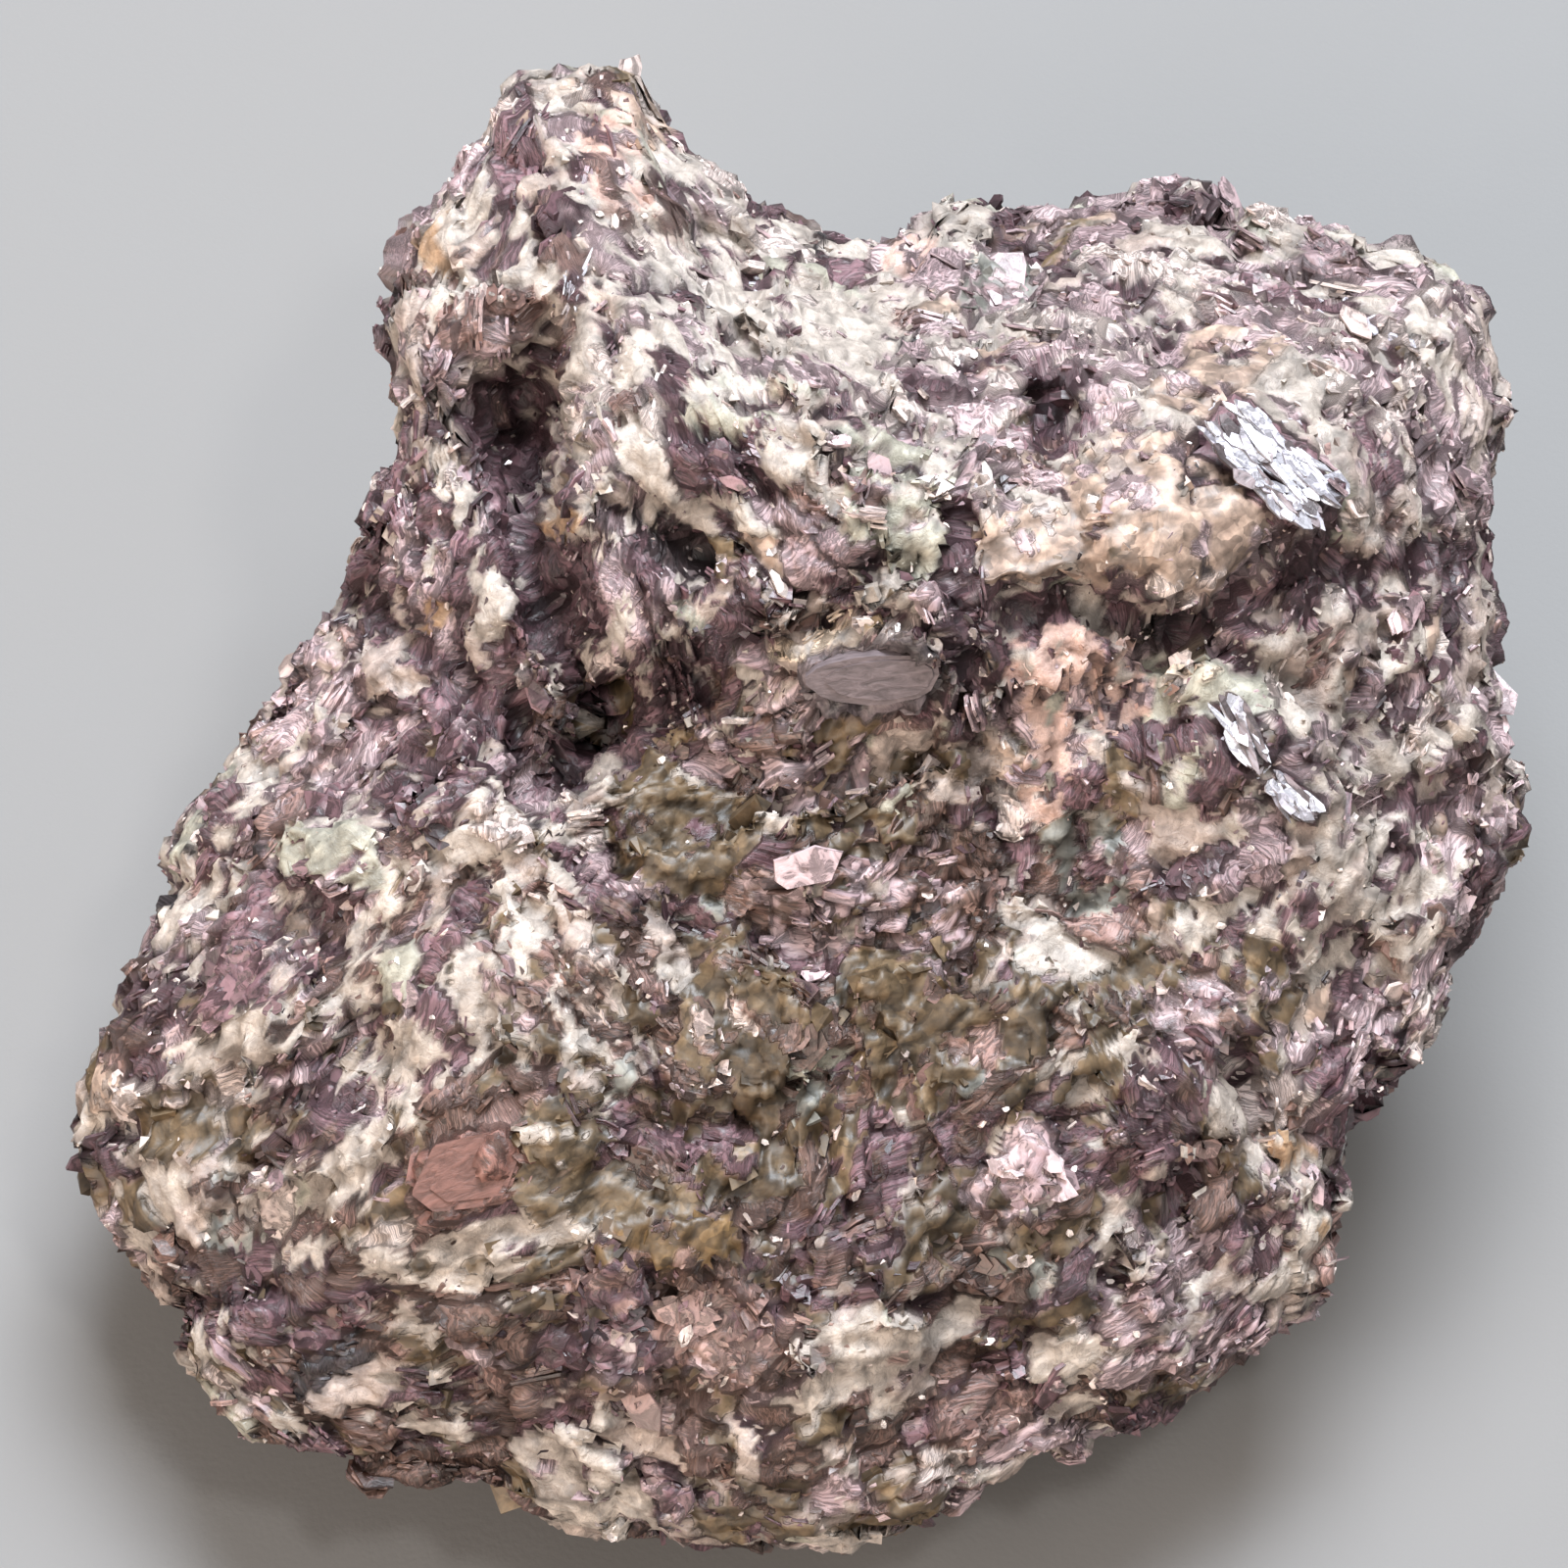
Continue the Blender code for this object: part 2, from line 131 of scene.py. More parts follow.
# Single crystals with a flat face: across, up, half length, half width, turn of the length in
# degrees, how its face falls to the right and upwards, how far it stands out, and what it is.
Crystal = namedtuple("Crystal", "across up half_length half_width turn right rise stand kind")
CRYSTALS = (
    # The three silvery crystals are mica whose pale bluish colour is partly a painted sheen.
    Crystal(29.4, 21.5, 5.0, 2.5, -47, 0.34, 0.42, 0.3, "silver"),
    Crystal(27.6, 5.1, 2.4, 1.1, -62, 0.06, 0.12, 0.4, "silver"),
    Crystal(30.9, 0.9, 2.1, 1.1, -40, 0.22, 0.02, 0.4, "silver"),
    Crystal(25.2, 8.4, 1.8, 1.5, 25, 0.15, -0.15, 0.9, "cream"),
    Crystal(4.9, 8.1, 4.5, 2.2, 6, -0.05, -0.52, 0.3, "grey"),
    Crystal(-19.9, -22.1, 3.5, 2.6, 20, 0.04, -0.06, 0.4, "brick"),
    Crystal(-32.6, -23.9, 2.4, 1.5, 80, -0.10, 0.15, 0.7, "pearl"),
    Crystal(-7.1, -1.2, 4.2, 2.8, -20, 0.18, 0.10, 0.5, "olive"),
    Crystal(-2.9, -13.2, 4.6, 3.8, 70, -0.12, 0.12, 0.6, "olive"),
    Crystal(7.3, -13.8, 4.8, 3.6, 100, 0.14, -0.10, 0.5, "olive"),
    Crystal(-36.5, -20.0, 5.0, 2.1, -4, 0.05, -0.10, 0.5, "olive"),
    Crystal(-7.7, -26.3, 4.4, 2.0, 8, -0.10, -0.12, 0.6, "amber"),
    Crystal(-14.8, -22.0, 2.6, 2.4, 0, 0.20, 0.10, 0.5, "olive"),
    Crystal(4.3, -32.6, 4.6, 1.9, 10, 0.05, 0.15, 0.8, "white"),
    Crystal(-32.8, -7.8, 4.0, 3.2, 60, -0.20, 0.10, 0.7, "plum"),
    Crystal(-10.2, -31.5, 3.8, 2.8, 75, 0.22, 0.05, 0.6, "plum"),
    Crystal(-4.8, -32.3, 3.4, 2.8, 40, -0.15, -0.15, 0.6, "rosy"),
    Crystal(37.0, -18.0, 4.0, 2.6, 65, 0.20, 0.05, 0.7, "plum"),
    Crystal(-8.8, 17.2, 4.0, 1.6, -35, 0.15, -0.25, 0.8, "striped"),
    Crystal(6.7, 18.5, 3.5, 2.8, -15, 0.10, -0.10, 0.9, "green"),
    Crystal(-29.2, -2.4, 3.4, 2.2, 5, -0.05, 0.15, 0.8, "green"),
    Crystal(12.7, 32.9, 2.1, 1.8, 0, 0.05, 0.20, 0.7, "teal"),
    Crystal(15.5, 17.0, 3.2, 2.4, 20, 0.05, 0.12, 0.7, "beige"),
    Crystal(24.5, -12.5, 3.0, 2.2, -25, 0.10, 0.15, 0.6, "lilac"),
    Crystal(14.0, -22.5, 3.0, 2.0, 55, -0.18, 0.10, 0.6, "lilac"),
    Crystal(-21.5, 1.5, 3.2, 1.8, 40, -0.15, 0.20, 0.7, "plum"),
)
CRYSTAL_EDGE = 0.12
# Flat breaks that bound the sides and the back: which way each looks, and how far it clears the rim.
BREAKS = (
    ((0.15, 0.86, -0.48), 0.5), ((0.72, 0.50, -0.50), 0.8), ((-0.70, 0.52, -0.50), 1.0),
    ((0.90, -0.10, -0.42), 0.5), ((-0.90, -0.12, -0.42), 0.5), ((0.60, -0.60, -0.52), 1.0),
    ((-0.52, -0.66, -0.54), 0.6), ((0.05, -0.76, -0.65), 0.5), ((-0.30, 0.80, -0.52), 0.6),
)

# What grows in the rock: how it is built, and its darkest and lightest colour.
MICA, FELDSPAR, QUARTZ = 0, 1, 2
KINDS = {
    "plum": (MICA, (0.030, 0.013, 0.018), (0.200, 0.112, 0.126)),
    "umber": (MICA, (0.036, 0.018, 0.014), (0.205, 0.125, 0.102)),
    "lilac": (MICA, (0.150, 0.092, 0.100), (0.530, 0.402, 0.410)),
    "pearl": (MICA, (0.340, 0.260, 0.238), (0.640, 0.545, 0.500)),
    "rosy": (MICA, (0.090, 0.046, 0.040), (0.320, 0.205, 0.180)),
    "brick": (MICA, (0.060, 0.026, 0.021), (0.205, 0.098, 0.078)),
    # Silvery mica: its pale bluish colour is partly its own and partly a painted sheen of cool light from
    # above.
    "silver": (MICA, (0.220, 0.200, 0.230), (0.640, 0.635, 0.690)),
    "cream": (MICA, (0.400, 0.300, 0.225), (0.680, 0.570, 0.450)),
    "grey": (MICA, (0.072, 0.055, 0.058), (0.176, 0.140, 0.146)),
    "striped": (MICA, (0.014, 0.008, 0.010), (0.150, 0.100, 0.104)),
    "black": (MICA, (0.012, 0.008, 0.010), (0.060, 0.044, 0.046)),
    "white": (FELDSPAR, (0.275, 0.228, 0.196), (0.505, 0.442, 0.388)),
    "ash": (FELDSPAR, (0.215, 0.162, 0.140), (0.480, 0.392, 0.340)),
    "green": (FELDSPAR, (0.250, 0.232, 0.182), (0.455, 0.432, 0.358)),
    "blush": (FELDSPAR, (0.310, 0.180, 0.145), (0.620, 0.430, 0.360)),
    "rust": (FELDSPAR, (0.210, 0.122, 0.070), (0.400, 0.268, 0.168)),
    "olive": (QUARTZ, (0.026, 0.016, 0.008), (0.165, 0.112, 0.062)),
    "amber": (QUARTZ, (0.060, 0.032, 0.012), (0.250, 0.158, 0.072)),
    "beige": (QUARTZ, (0.224, 0.155, 0.120), (0.436, 0.320, 0.250)),
    "teal": (QUARTZ, (0.070, 0.068, 0.058), (0.240, 0.235, 0.208)),
}
NAMES = tuple(KINDS)
BUILD = np.array([KINDS[name][0] for name in NAMES])
DARKEST = np.array([KINDS[name][1] for name in NAMES])
LIGHTEST = np.array([KINDS[name][2] for name in NAMES])

# How rough each kind's break is, from 0 to 1, and how much it is speckled with others.
CALM = np.choose(BUILD, (1.0, 0.65, 0.8))
CALM[[NAMES.index(name) for name in ("beige", "green")]] = 0.35
SPECKLED = np.ones(len(NAMES))
SPECKLED[[NAMES.index(name) for name in ("olive", "amber")]] = 1.6
SPECKLED[NAMES.index("beige")] = 0.5

# How much of each grows where nothing else is said, and in soft regions of the face: across, up,
# radius, then what there is more of.
COMMON = {
    "plum": 0.25, "lilac": 0.27, "pearl": 0.08, "rosy": 0.07, "white": 0.18, "ash": 0.13, "green": 0.02,
    "olive": 0.02, "black": 0.012, "beige": 0.02,
}
REGIONS = (
    (-1, -17, 12, {"olive": 1.8, "umber": 2.1, "rosy": 0.4, "teal": 0.10}),
    (-6, -26, 10, {"umber": 2.5, "olive": 1.6, "plum": 1.0}),
    (-32, -26, 9, {"umber": 0.6, "olive": 0.5}),
    (18, 31, 12, {"lilac": 0.9, "pearl": 0.3, "white": 0.1, "plum": 0.15}),
    (0, 29, 8, {"white": 1.6, "pearl": 0.5, "lilac": 0.3}),
    (-8, -38, 14, {"rosy": 0.8, "ash": 0.5, "white": 0.95}),
    (-20, 15, 9, {"plum": 1.0, "white": 0.36}),
    (-21, 33, 6, {"white": 0.7, "pearl": 0.3, "rosy": 0.2}),
    (-25, 6, 7, {"lilac": 0.6, "ash": 0.4}),
    (36, 19, 6, {"ash": 0.5, "lilac": 0.3}),
    # Painted highlight: more pearl and white on the crest at the upper right stand in for light glinting
    # there.
    (36, 31, 8, {"pearl": 0.7, "white": 0.9, "lilac": 0.2}),
    (3, 7, 5, {"ash": 0.5, "lilac": 0.4}),
)
# Kinds that drift together, how strongly, and the size of the drifts in mm.
DRIFTS = (
    (("plum", "umber", "black"), 1.7), (("white", "green"), 1.7),
    (("lilac", "pearl"), 1.0), (("ash", "rosy"), 1.2),
)
DRIFT_SIZE = 6.0
# How the mica sheets run on the face: across, up, direction in degrees.
FLOW = (
    (-20, 41, 60), (-9, 40, -60), (-23, 31, 85), (-18, 24, 30), (-12, 24, 85), (-5, 32, 10), (3, 31, -45),
    (0, 26, -5), (-4, 21, -50), (-9, 17, -35), (5, 16, 10), (-18, 14, 80), (-14, 12, 60), (11, 13, -80),
    (13, 29, 5), (22, 25, -60), (24, 37, -15), (33, 32, -30), (29, 21, -50), (40, 20, -75), (37, 8, 60),
    (26, 12, 40), (-31, 7, 50), (-22, 3, 50), (-12, 6, 45), (-33, -8, 40), (-26, -8, 70), (-37, -17, 10),
    (-28, -18, 35), (-24, -23, 45), (-13, -9, -45), (-7, -2, -35), (4, 1, 40), (15, -2, -70),
    (11, -8, 25), (29, -5, 45), (4, -22, 65), (23, -26, 40), (26, -17, -40), (36, -17, 60), (5, -30, 5),
    (-8, -31, -55), (10, -38, 10), (-2, -12, -20), (20, -10, 30), (19, 6, -60), (-12, -25, -5),
    (-18, -31, 20), (-28, -35, -20), (30, -28, 30),
)
FLOW_BLEND = 4.5
# Narrow slits between the grains: the path across and up, then width and depth.
SLITS = (
    (((-21, 25.5), (-18.5, 26), (-15.5, 26)), 0.8, 1.4),
    (((-7, 23.5), (-4, 23.5), (-3, 21.5), (-1.5, 19.5)), 0.8, 1.6),
    (((-15.5, 28), (-16.5, 22.5), (-17, 17), (-15.5, 11)), 0.9, 0.9),
    (((-12, 31.5), (-11, 29), (-11.5, 27)), 0.8, 1.4),
    (((-3, 25.5), (1, 25), (5, 25), (8, 23.5)), 0.7, 1.2),
    (((-0.5, 22.5), (4.5, 22), (8, 21.5)), 0.7, 1.0), (((-12, 19), (-9, 18), (-5.5, 15.5)), 0.7, 1.2),
    (((-1, 12.5), (2.5, 14), (5.5, 15.5), (9, 14.5)), 0.8, 1.4),
    (((-3, 10), (2, 11.5), (5.5, 12), (9, 11)), 0.8, 1.3),
    (((-18.5, 4), (-22.5, 2.5), (-25.5, -0.5)), 0.8, 1.3),
    (((-7, 9), (-10, 8.5), (-12.5, 5), (-15, 2.5), (-16.5, 1.5)), 0.9, 1.0),
    (((-18, 11), (-16.5, 4)), 0.7, 1.2),
    (((17, 13.5), (19.5, 12), (22, 10.5), (25.5, 11), (28, 14.5), (30, 16.5), (34, 16)), 0.9, 0.9),
    (((22, 9.5), (26, 10.5), (29, 9), (31.5, 8)), 0.8, 1.2), (((26, 24), (25, 22), (25, 19.5)), 0.7, 1.3),
    (((34, 25.5), (37, 26), (39, 24), (39.5, 21), (40.5, 17.5), (38, 14.5)), 0.8, 1.4),
    (((41.5, 17.5), (41.5, 10.5)), 0.8, 1.2), (((37, 11), (35.5, 8), (34.5, 4)), 0.8, 1.3),
    (((21, 33.5), (23, 31.5), (23.5, 29)), 0.9, 1.4), (((15.5, 28.5), (16, 23.5)), 0.9, 1.4),
    (((9, 19.5), (12, 16), (11.5, 11.5), (10.5, 6.5)), 0.8, 1.4), (((13.5, 14), (13.5, 6.5)), 0.7, 1.0),
    (((18, -1), (17, -6)), 0.7, 1.2), (((2, -19.5), (3.5, -24.5)), 0.8, 1.2),
    (((26, -22), (23, -25), (19.5, -28.5)), 0.8, 1.4), (((3.5, -30), (9, -30.5), (15, -33)), 0.8, 1.2),
    (((-34.5, -16.5), (-28.5, -15)), 0.8, 1.2), (((-31, -17.5), (-26, -18)), 0.7, 1.0),
    (((-42.5, -20), (-36.5, -18)), 0.7, 1.0), (((-38, -31), (-33, -29.5)), 0.8, 1.2),
    (((-9, -14), (-7.5, -19)), 0.8, 1.2), (((35, -21), (38.5, -14)), 0.8, 1.3),
    (((-18.5, 41.5), (-15, 40.5)), 0.8, 1.2),
)
# Patches that show at a glance: across, up, half length, half width, turn in degrees, what it is.
PATCHES = (
    (-37, -4.2, 2.5, 2.0, 0, "white"), (-13, -12.6, 4.0, 2.0, 70, "white"),
    (-17.2, -7.8, 2.6, 2.0, 0, "white"), (-20.8, -27, 4.2, 2.2, 15, "white"),
    (-36.4, -34.2, 2.6, 1.8, 30, "white"), (0.5, 30, 5.6, 3.6, -20, "white"),
    (29.5, -6.8, 3.2, 1.6, 10, "white"), (36, -3.5, 4.0, 3.0, 0, "white"),
    (-24, -16, 2.2, 3.4, 20, "white"), (-2, 25.2, 4.2, 2.0, 10, "green"),
    (-27, -21.5, 1.6, 4.5, -35, "white"), (-33.5, 3, 2.5, 1.4, 40, "white"),
    (22.8, 19.1, 6.0, 5.0, 0, "beige"), (27, 27.2, 2.6, 3.4, -20, "beige"),
    (-9.5, 43.6, 2.0, 1.6, 0, "beige"), (18, 8, 3.8, 3.4, 20, "blush"), (15.6, 2.6, 1.5, 2.6, 0, "blush"),
    (-11.5, 40.6, 1.8, 3.0, 15, "blush"), (-14, 18, 1.3, 0.9, 60, "rust"),
    (-21.8, 11.7, 0.8, 1.1, 0, "rust"), (31.9, -20.7, 1.4, 1.0, 0, "rust"),
    (33.4, -26, 0.8, 0.8, 0, "rust"), (-22.4, 35.4, 0.9, 1.7, 20, "rust"),
    (18.5, -3, 3.6, 1.7, 105, "teal"), (-5, -4.8, 1.7, 1.6, 0, "teal"),
    (-10, -16.8, 1.5, 2.2, 15, "teal"), (-35.6, -26.1, 1.4, 1.2, 0, "teal"),
    (-36.5, -21.6, 1.9, 1.2, 0, "teal"), (-33.9, -1.8, 0.9, 0.6, 20, "black"),
    (-16.6, 0, 0.9, 0.7, 0, "black"), (11, 36.8, 1.3, 0.5, 10, "black"),
    (1.6, 34.8, 0.9, 0.4, -50, "black"), (24.1, 21.2, 1.4, 0.6, 65, "black"),
    (18.7, 13.2, 1.7, 0.6, -20, "black"), (-38.8, -12, 3.0, 2.0, 20, "plum"),
    (-29.3, -18, 3.6, 2.4, 35, "plum"), (22.9, -18, 3.0, 3.6, 0, "plum"),
    (-0.5, -25.8, 3.0, 1.6, 0, "plum"), (28.9, -25.8, 2.6, 2.0, 20, "plum"),
    (16.3, 25.2, 2.4, 1.8, 0, "plum"), (-36.5, -31.2, 3.5, 1.5, 25, "plum"),
    (-26.8, -30.6, 2.4, 1.2, 30, "plum"), (5.5, -22.2, 3.4, 1.6, 55, "plum"),
    (4.3, -25.8, 2.5, 1.0, 10, "plum"), (-7, 8.5, 4.0, 2.0, -30, "plum"),
    (-13.7, 13, 1.6, 4.0, 5, "plum"), (10.6, 13.7, 1.3, 7.0, 4, "plum"), (34, 10, 4.0, 2.0, 30, "ash"),
    (29, 12, 4.0, 1.6, 20, "plum"), (-28, 5, 4.0, 3.0, 50, "lilac"), (5, -6, 6.0, 3.0, 0, "lilac"),
    # The silvery patches on the upper shelf and crest are painted reflections of cool light on the mica.
    (41, 22, 1.6, 5.0, 0, "lilac"), (-0.5, 33, 1.5, 0.8, 0, "silver"),
    (-14.8, 31.7, 0.9, 1.2, 0, "silver"), (34.2, 31.7, 2.4, 1.2, -30, "silver"),
    (37.8, 28.7, 1.2, 0.8, 0, "silver"), (5.5, 0, 3.5, 2.5, 0, "olive"),
    (-9.7, -24, 4.0, 1.8, -10, "olive"), (16.3, -16.2, 3.5, 2.0, 0, "olive"),
    (27.6, -9.6, 2.5, 1.8, 0, "olive"), (-17.6, -0.3, 1.4, 1.2, 0, "pearl"),
    (17.2, -32, 0.9, 0.9, 0, "pearl"), (10, -40, 2.0, 1.3, 0, "pearl"),
    (-12.5, -10.5, 1.6, 2.2, 0, "pearl"), (-26, -6, 4.2, 1.0, 68, "white"),
    (-35, -14, 5.0, 1.1, 30, "white"), (-19, 30, 3.0, 2.0, 20, "rosy"), (0.5, 27, 3.2, 1.0, -8, "lilac"),
    (1.5, 24.5, 3.6, 0.8, 0, "ash"), (21, 38, 4.0, 0.9, -5, "lilac"), (12, 29.5, 5.0, 0.8, 5, "lilac"),
    (33, 14, 3.4, 1.2, -8, "plum"), (-31, 7, 3.6, 1.2, 50, "lilac"), (-3, -31, 3.0, 2.0, 30, "rosy"),
    (19, -21, 3.6, 1.8, 0, "plum"), (9, 3, 3.4, 1.8, -20, "ash"), (42, 2, 1.8, 2.8, 0, "lilac"),
    (-23, 2, 3.0, 1.2, 50, "plum"), (25, 3, 3.0, 1.6, -50, "plum"), (-3, -21.5, 3.2, 2.0, 20, "olive"),
    (2.5, -28.5, 3.2, 1.4, -10, "plum"), (9.5, -27, 3.0, 1.8, 40, "olive"),
    (-6, -29, 3.0, 1.4, 10, "umber"), (-11, -20, 2.4, 1.7, 30, "plum"), (-3, -24.5, 2.2, 1.6, 0, "umber"),
    (-11.8, 11.2, 2.8, 0.55, 55, "white"), (-9.3, 9.4, 2.8, 0.55, 50, "white"),
    (-14, 8.4, 2.4, 0.5, 60, "white"), (-6.1, 12, 2.4, 0.7, 30, "ash"),
    (4.7, 12.5, 3.6, 1.1, 25, "pearl"), (1.5, 10.7, 3.0, 0.7, 22, "cream"),
    (10.2, 38, 1.9, 1.4, 0, "white"), (9.8, 35.4, 1.6, 1.1, 0, "white"), (7.3, 35, 1.4, 0.8, 0, "blush"),
    (-14, -17.5, 2.2, 2.6, 10, "olive"), (11.5, -20, 2.4, 2.0, 0, "plum"),
    (1, -17.5, 3.0, 1.8, -15, "olive"), (35, -8.5, 4.5, 1.5, 20, "white"),
    (39.5, -12.5, 3.4, 1.3, 62, "pearl"), (36.5, -16, 3.2, 1.0, 60, "plum"),
)

# Every draw starts from this number plus one of its own.
SEED = 41
# The lattice that cells come from, in mm, and how many boxes a table of noise has along a side.
LATTICE_FROM = -70.0
LATTICE_SPAN = 140.0
NOISE_BOXES = 53
# Levels out of the face, in mm, at which what is said of it ends: the face itself and the depth over
# which it fades, the same for the regions, then the patches and the plates of the crystals.
FACE_END = -14.0
FACE_FADE = 8.0
REGION_END = -12.0
REGION_FADE = 10.0
PATCH_END = -13.0
PLATES_END = -8.0
# Smoky patches behind the face: their size, how much they add, and the noise that they start from.
SMOKE_SIZE = 15.0
SMOKE_SHARE = 0.35
SMOKE_FROM = 0.15
# Waves that bend the outlines of grains and of specks: their size and how far they push.
GRAIN_WAVES = ((5.0, 1.3), (1.6, 0.45))
SPECK_WAVES = (1.1, 0.4)
# Grains and the specks in them: size, how far their own faces stand out or sink, their slope, how
# many times longer than broad they are, and the share of a step that is left on a crystal.
GRAIN_SIZE = 3.0
GRAIN_STEP = 0.50
GRAIN_SLOPE = 0.46
GRAIN_STRETCH = 2.1
SPECK_SIZE = 1.25
SPECK_STEP = 0.10
CRYSTAL_STEP = 0.15
# Share of specks that are of another kind, and share of a patch or crystal that is rock after all.
MIXED_SHARE = 0.22
IMPURE_SHARE = 0.22
# Tone of a place: from its grain, from its speck, less a constant, and less deep in a hollow as painted
# shade.
TONE_OF_GRAIN = 0.6
TONE_OF_SPECK = 0.55
TONE_LESS = 0.07
PAINTED_SHADE_IN_HOLLOWS = 0.30
# Painted shade: how deep in a hollow the rock turns to dark plum mica, at the least, and how much later at
# the most.
HOLLOW_SHADE_PLUM_FROM = 0.45
HOLLOW_SHADE_PLUM_SPREAD = 0.7
# Depth at which a slit and a pit count as fully deep, for the painted shade in hollows and the smaller
# pieces there.
DARK_SLIT = 1.6
DARK_PIT = 3.0
# Most lean of a grain's sheets, in radians, the power that makes most of them lean less, and the
# range of their swing.
SHEET_LEAN = 1.4
LEAN_POWER = 1.6
SHEET_SWING = 0.9
# How the sheets run behind the face and the waves that turn them, how the run turns on the face,
# the faint pull of far directions, and how far behind the rim the lump's middle lies.
ASLANT = (0.78, 0.60, 0.12)
ASLANT_WAVES = (12.0, 0.6)
RUN_TURN = 0.45
RUN_TURN_SIZE = 4.0
FAR_PULL = 1e-4
MIDDLE_DEPTH = 16.0
# Crystals whose faces are plates of their own, up to this share of the way to the edge.
PLATED = ("silver", "grey", "brick")
PLATED_SHARE = 0.95


def face_axes():
    """Across, up and out of the broken face, as world directions."""
    rise, level = math.sin(FACE_RISE), math.cos(FACE_RISE)
    return np.array(((1, 0, 0), (0, rise, level), (0, -level, rise)))


AXES = face_axes()


def unit(vectors):
    """Each row divided by its own length."""
    return vectors / np.maximum(np.linalg.norm(vectors, axis=-1, keepdims=True), 1e-9)


def round_the_rim(angle):
    """Reach and depth of the rim at an angle: straight between the rim's points, by angle."""
    rim = np.array(RIM)
    around = np.arctan2(rim[:, 1], rim[:, 0])
    reach = np.hypot(rim[:, 0], rim[:, 1]) * (1 - rim[:, 2] / SEEN_FROM) - RIM_MARGIN
    turn = 2 * math.pi
    return np.interp(angle, around, reach, period=turn), np.interp(angle, around, rim[:, 2], period=turn)


def distance_to(path, across, up):
    """Distance of each point from a path of straight runs."""
    nearest = np.full_like(across, 1e3)
    for (x0, y0), (x1, y1) in zip(path, path[1:]):
        run = (x1 - x0) ** 2 + (y1 - y0) ** 2
        along = np.clip(((across - x0) * (x1 - x0) + (up - y0) * (y1 - y0)) / run, 0, 1)
        away = np.hypot(across - x0 - along * (x1 - x0), up - y0 - along * (y1 - y0))
        nearest = np.minimum(nearest, away)
    return nearest


def bell(across, up, x, y, radius):
    """exp(-(d / radius)^2) at each point's distance d from a spot."""
    return np.exp(-((across - x) ** 2 + (up - y) ** 2) / radius**2)


def furrow(across, up, path, width):
    """exp(-(d / width)^2) at each point's distance d from a path."""
    return np.exp(-((distance_to(path, across, up) / width) ** 2))


def rock_height(across, up):
    """Listed heights blended with the weight exp(-d^2 / 2 blend^2), with lumps, pits and crevices."""
    height = np.zeros_like(across)
    weight = np.full_like(across, 1e-12)
    for x, y, out in LOWER_FACE + MIDDLE_BLOCK + RIGHT_BLOCK + PEAK:
        near = np.exp(-((across - x) ** 2 + (up - y) ** 2) / (2 * RELIEF_BLEND**2))
        height += near * out
        weight += near
    height /= weight
    for x, y, radius, tall in LUMPS:
        height += tall * np.exp(-(((across - x) ** 2 + (up - y) ** 2) / radius**2) ** 2)
    for x, y, radius, deep in PITS:
        height -= deep * bell(across, up, x, y, radius)
    for path, width, deep in CREVICES:
        height -= deep * furrow(across, up, path, width)
    return height


def oval(across, up, x, y, half_length, half_width, turn):
    """Four-power distance from a turned oval's middle: 1 on its edge."""
    turn = math.radians(turn)
    along = ((across - x) * math.cos(turn) + (up - y) * math.sin(turn)) / half_length
    aside = ((up - y) * math.cos(turn) - (across - x) * math.sin(turn)) / half_width
    return (along**4 + aside**4) ** 0.25


def crystal_level(crystal):
    """Height of a crystal's face at its middle."""
    return rock_height(np.array([crystal.across], float), np.array([crystal.up], float))[0] + crystal.stand


def face_height(across, up):
    """Height of the face: the rock, with each crystal's sloping plane set in it inside its oval."""
    height = rock_height(across, up)
    for crystal in CRYSTALS:
        inside = np.clip((1 - oval(across, up, *crystal[:5])) / CRYSTAL_EDGE, 0, 1)
        plane = crystal_level(crystal) - crystal.right * (across - crystal.across)
        plane = plane - crystal.rise * (up - crystal.up)
        height += inside * (plane - height)
    return height


def lump_form(ways):
    """Places for directions: a section |side|^c + |out|^c = 1 carried round the rim's reach.

    In front of the rim the depth goes from the rim's to the face's height, behind it to the back's.
    """
    angle = np.arctan2(ways[:, 1], ways[:, 0])
    side = np.hypot(ways[:, 0], ways[:, 1])
    corner = np.where(ways[:, 2] > 0, FRONT_CORNER, BACK_CORNER)
    section = (side**corner + np.abs(ways[:, 2]) ** corner) ** (-1 / corner)
    reach, rim = round_the_rim(angle)
    across = reach * np.cos(angle) * side * section
    up = reach * np.sin(angle) * side * section
    lift = ways[:, 2] * section
    front = rim + lift * (face_height(across, up) - rim)
    floor = -(SEAT_DEPTH + SEAT_BULGE + up * math.cos(FACE_RISE)) / math.sin(FACE_RISE)
    back = rim - lift * (floor - rim)
    return np.stack((across, up, np.where(lift > 0, front, back)), axis=1)


def block_heights(places, size, tilt, step, seed):
    """A step and a slope for each block, blocks being the cells nearest to scattered points."""
    dice = np.random.default_rng(seed)
    count = int(np.prod(np.subtract(BLOCKS_TO, BLOCKS_FROM) / size))
    middles = dice.uniform(BLOCKS_FROM, BLOCKS_TO, (count, 3))
    slopes = dice.normal(0, tilt, (count, 3))
    steps = dice.uniform(-step, step, count)
    nearest = np.zeros(len(places), int)
    closest = np.full(len(places), 1e9)
    for index, middle in enumerate(middles):
        away = ((places - middle) ** 2).sum(axis=1)
        nearest = np.where(away < closest, index, nearest)
        closest = np.minimum(away, closest)
    return steps[nearest] + ((places - middles[nearest]) * slopes[nearest]).sum(axis=1)


def break_flat(places):
    """Places beyond a flat break are brought back onto it along its normal."""
    for way, clear in BREAKS:
        way = np.array(way) / np.linalg.norm(way)
        out = (np.array(RIM) @ way).max() + clear
        places = places - np.maximum(places @ way - out, 0)[:, None] * way
    return places


